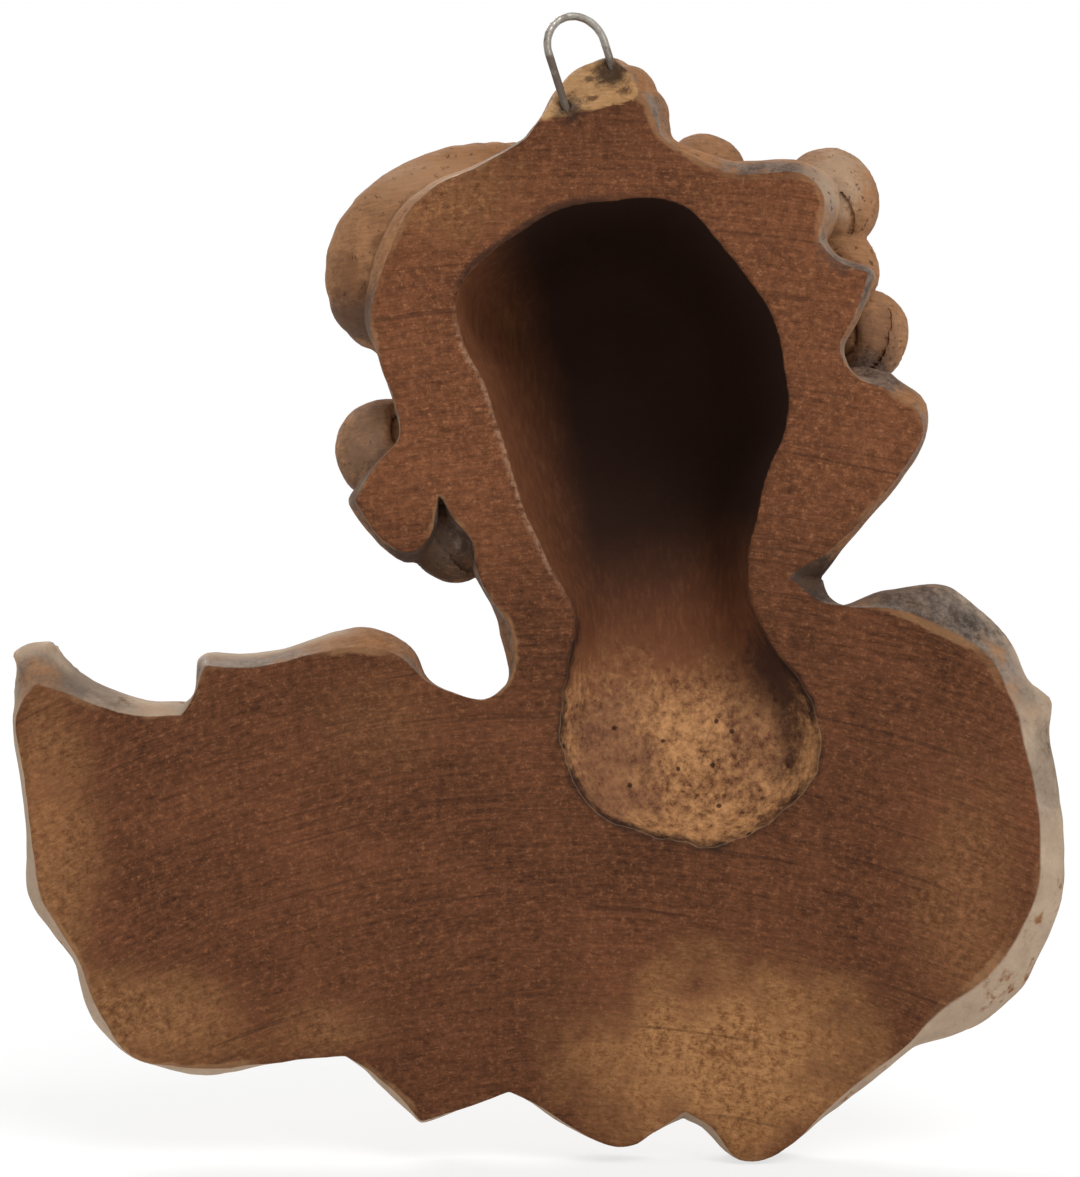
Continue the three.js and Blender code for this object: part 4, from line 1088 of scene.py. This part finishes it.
colour = wood.mix(on_back, front, sawn)
colour = wood.mix(hollow, colour, scooped)
colour = wood.mix(bevel, colour, fresh)
roughness = 0.88 - 0.3 * rubbed * (1 - on_back) - 0.1 * mottle
height = 0.10 * streak + 0.12 * fibre + 0.25 * speck + 0.1 * grit + 0.04 * saw * on_back
height = height + 0.6 * pitting * hollow * bare_floor - 0.4 * crack
wood.put(height=height, base_color=colour, roughness=roughness)
mesh.materials.append(wood.owner)


# The hanging loop
# A length of dull steel wire bent into an eye. Both legs are pushed into holes in
# the bevel of the knob, and it has gone brown with a little rust.
WIRE_RADIUS = 1.0
WIRE_SIDES = 20
EYE_STEPS = 64
LEG_STEPS = 24
DARK_STEEL = (0.20, 0.18, 0.155)
PALE_STEEL = (0.46, 0.43, 0.38)
RUST = (0.085, 0.052, 0.033)
TURNED_BROWN = (0.12, 0.09, 0.062)

eye_angles = np.linspace(0, math.pi, EYE_STEPS)
eye_round = [in_loop(LOOP_RADIUS * math.cos(angle), LOOP_RADIUS * math.sin(angle)) for angle in eye_angles]
wire_path = np.concatenate([np.linspace(LEG_FEET[0], LEG_TOPS[0], LEG_STEPS)[:-1], eye_round,
                            np.linspace(LEG_TOPS[1], LEG_FEET[1], LEG_STEPS)[1:]])
wire_along = np.gradient(wire_path, axis=0)
wire_along /= np.linalg.norm(wire_along, axis=1)[:, None]
out_of_loop = np.cross(loop_across, leg_up)
wire_side = np.cross(wire_along, out_of_loop)
wire_points = []
for i, (spot, side) in enumerate(zip(wire_path, wire_side)):
    radius = WIRE_RADIUS * (1 + 0.02 * math.sin(0.9 * i) + 0.015 * math.sin(0.37 * i))
    for angle in np.linspace(0, 2 * math.pi, WIRE_SIDES, endpoint=False):
        wire_points.append(spot + radius * (math.cos(angle) * side + math.sin(angle) * out_of_loop))
wire_points = np.array(wire_points)
wire_faces = [tuple(range(WIRE_SIDES)), tuple(len(wire_points) - 1 - i for i in range(WIRE_SIDES))]
for level in range(len(wire_path) - 1):
    for i in range(WIRE_SIDES):
        a = level * WIRE_SIDES + i
        b = level * WIRE_SIDES + (i + 1) % WIRE_SIDES
        wire_faces.append((a, a + WIRE_SIDES, b + WIRE_SIDES, b))
wire_mesh = bpy.data.meshes.new("wire_loop")
wire_in_row = np.stack([wire_points[:, 0], -wire_points[:, 2], wire_points[:, 1]], 1) / 1000
wire_mesh.from_pydata(wire_in_row, [], wire_faces)
wire_mesh.polygons.foreach_set("use_smooth", [len(face) == 4 for face in wire_faces])
wire_loop = bpy.data.objects.new("wire_loop", wire_mesh)
bpy.context.collection.objects.link(wire_loop)
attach(wire_loop, "root")
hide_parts("hanging_loop")

steel = Finish("dull_steel")
rust = steel.band(steel.noise(3.5, 4, 0.65) + 0.25 * steel.band(steel.z, 219, 206), 0.5, 0.74)
scratch = steel.noise(0.8, 3, 0.7)
steel_colour = steel.mix(scratch, DARK_STEEL, PALE_STEEL)
steel_colour = steel.mix(0.55 * steel.band(steel.z, 221, 207), steel_colour, TURNED_BROWN)
steel_colour = steel.mix(rust * 0.8, steel_colour, RUST)
steel.put(height=0.05 * scratch + 0.05 * rust, base_color=steel_colour, roughness=0.42 + 0.35 * rust,
          metallic=0.85 - 0.6 * rust)
wire_mesh.materials.append(steel.owner)


# Stage
# A sheet of matt white paper under the lowest feather, soft light from before and
# behind, and a camera straight behind the flat back, where the photograph was taken.
PAPER_REACH = 4000
PAPER_COLOUR = (0.92, 0.92, 0.92, 1)
PAPER_GLOW = 0.7
SKY_LEVEL = 0.5
LAMPS = {"behind": (-48, 0, 24), "front": (48, 0, 24)}
LAMP_POWER = 1.6
LAMP_ANGLE = 0.5
CAMERA_AWAY = 750
VIEW_HEIGHT = 294.25
VIEW_MIDDLE = (9.25, 77.9)
SENSOR = 36

scene = bpy.context.scene
scene.view_settings.view_transform = "Standard"


def seen(tree):
    """1 for rays that see the surroundings: straight, mirrored or through glass."""
    straight, mirrored, bent = (tree.node("ShaderNodeLightPath", output=f"Is {way} Ray")
                                for way in ("Camera", "Glossy", "Transmission"))
    return tree.node("ShaderNodeMath", {"use_clamp": True}, {0: straight + mirrored, 1: bent})


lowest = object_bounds()[0][2]
reach = PAPER_REACH / 1000
paper_corners = [(-reach, -reach, lowest), (reach, -reach, lowest),
                 (reach, reach, lowest), (-reach, reach, lowest)]
floor_mesh = bpy.data.meshes.new("floor")
floor_mesh.from_pydata(paper_corners, [], [(0, 1, 2, 3)])
floor = bpy.data.objects.new("floor", floor_mesh)
bpy.context.collection.objects.link(floor)
paper = Tree(bpy.data.materials.new("paper"), "Principled BSDF", base_color=PAPER_COLOUR, roughness=1)
matt = Value(paper, paper.shader.outputs[0])
white = paper.node("ShaderNodeEmission")
surface = paper.node("ShaderNodeMixShader", None, {0: PAPER_GLOW * seen(paper), 1: matt, 2: white})
paper.links.new(surface.socket, paper.nodes["Material Output"].inputs["Surface"])
floor_mesh.materials.append(paper.owner)

sky = Tree(bpy.data.worlds.new("studio"), "Background", color=(1, 1, 1, 1))
sky.put(strength=SKY_LEVEL + (1 - SKY_LEVEL) * seen(sky))
scene.world = sky.owner
for name, turn in LAMPS.items():
    lamp = bpy.data.lights.new(name, "SUN")
    lamp.energy = LAMP_POWER
    lamp.angle = LAMP_ANGLE
    lamp_object = bpy.data.objects.new(name, lamp)
    lamp_object.rotation_euler = [math.radians(angle) for angle in turn]
    bpy.context.collection.objects.link(lamp_object)

camera = bpy.data.cameras.new("camera")
camera.lens = SENSOR * CAMERA_AWAY / VIEW_HEIGHT
camera_object = bpy.data.objects.new("camera", camera)
camera_object.location = (VIEW_MIDDLE[0] / 1000, CAMERA_AWAY / 1000, VIEW_MIDDLE[1] / 1000)
camera_object.rotation_euler = (math.radians(90), 0, math.radians(180))
bpy.context.collection.objects.link(camera_object)
scene.camera = camera_object
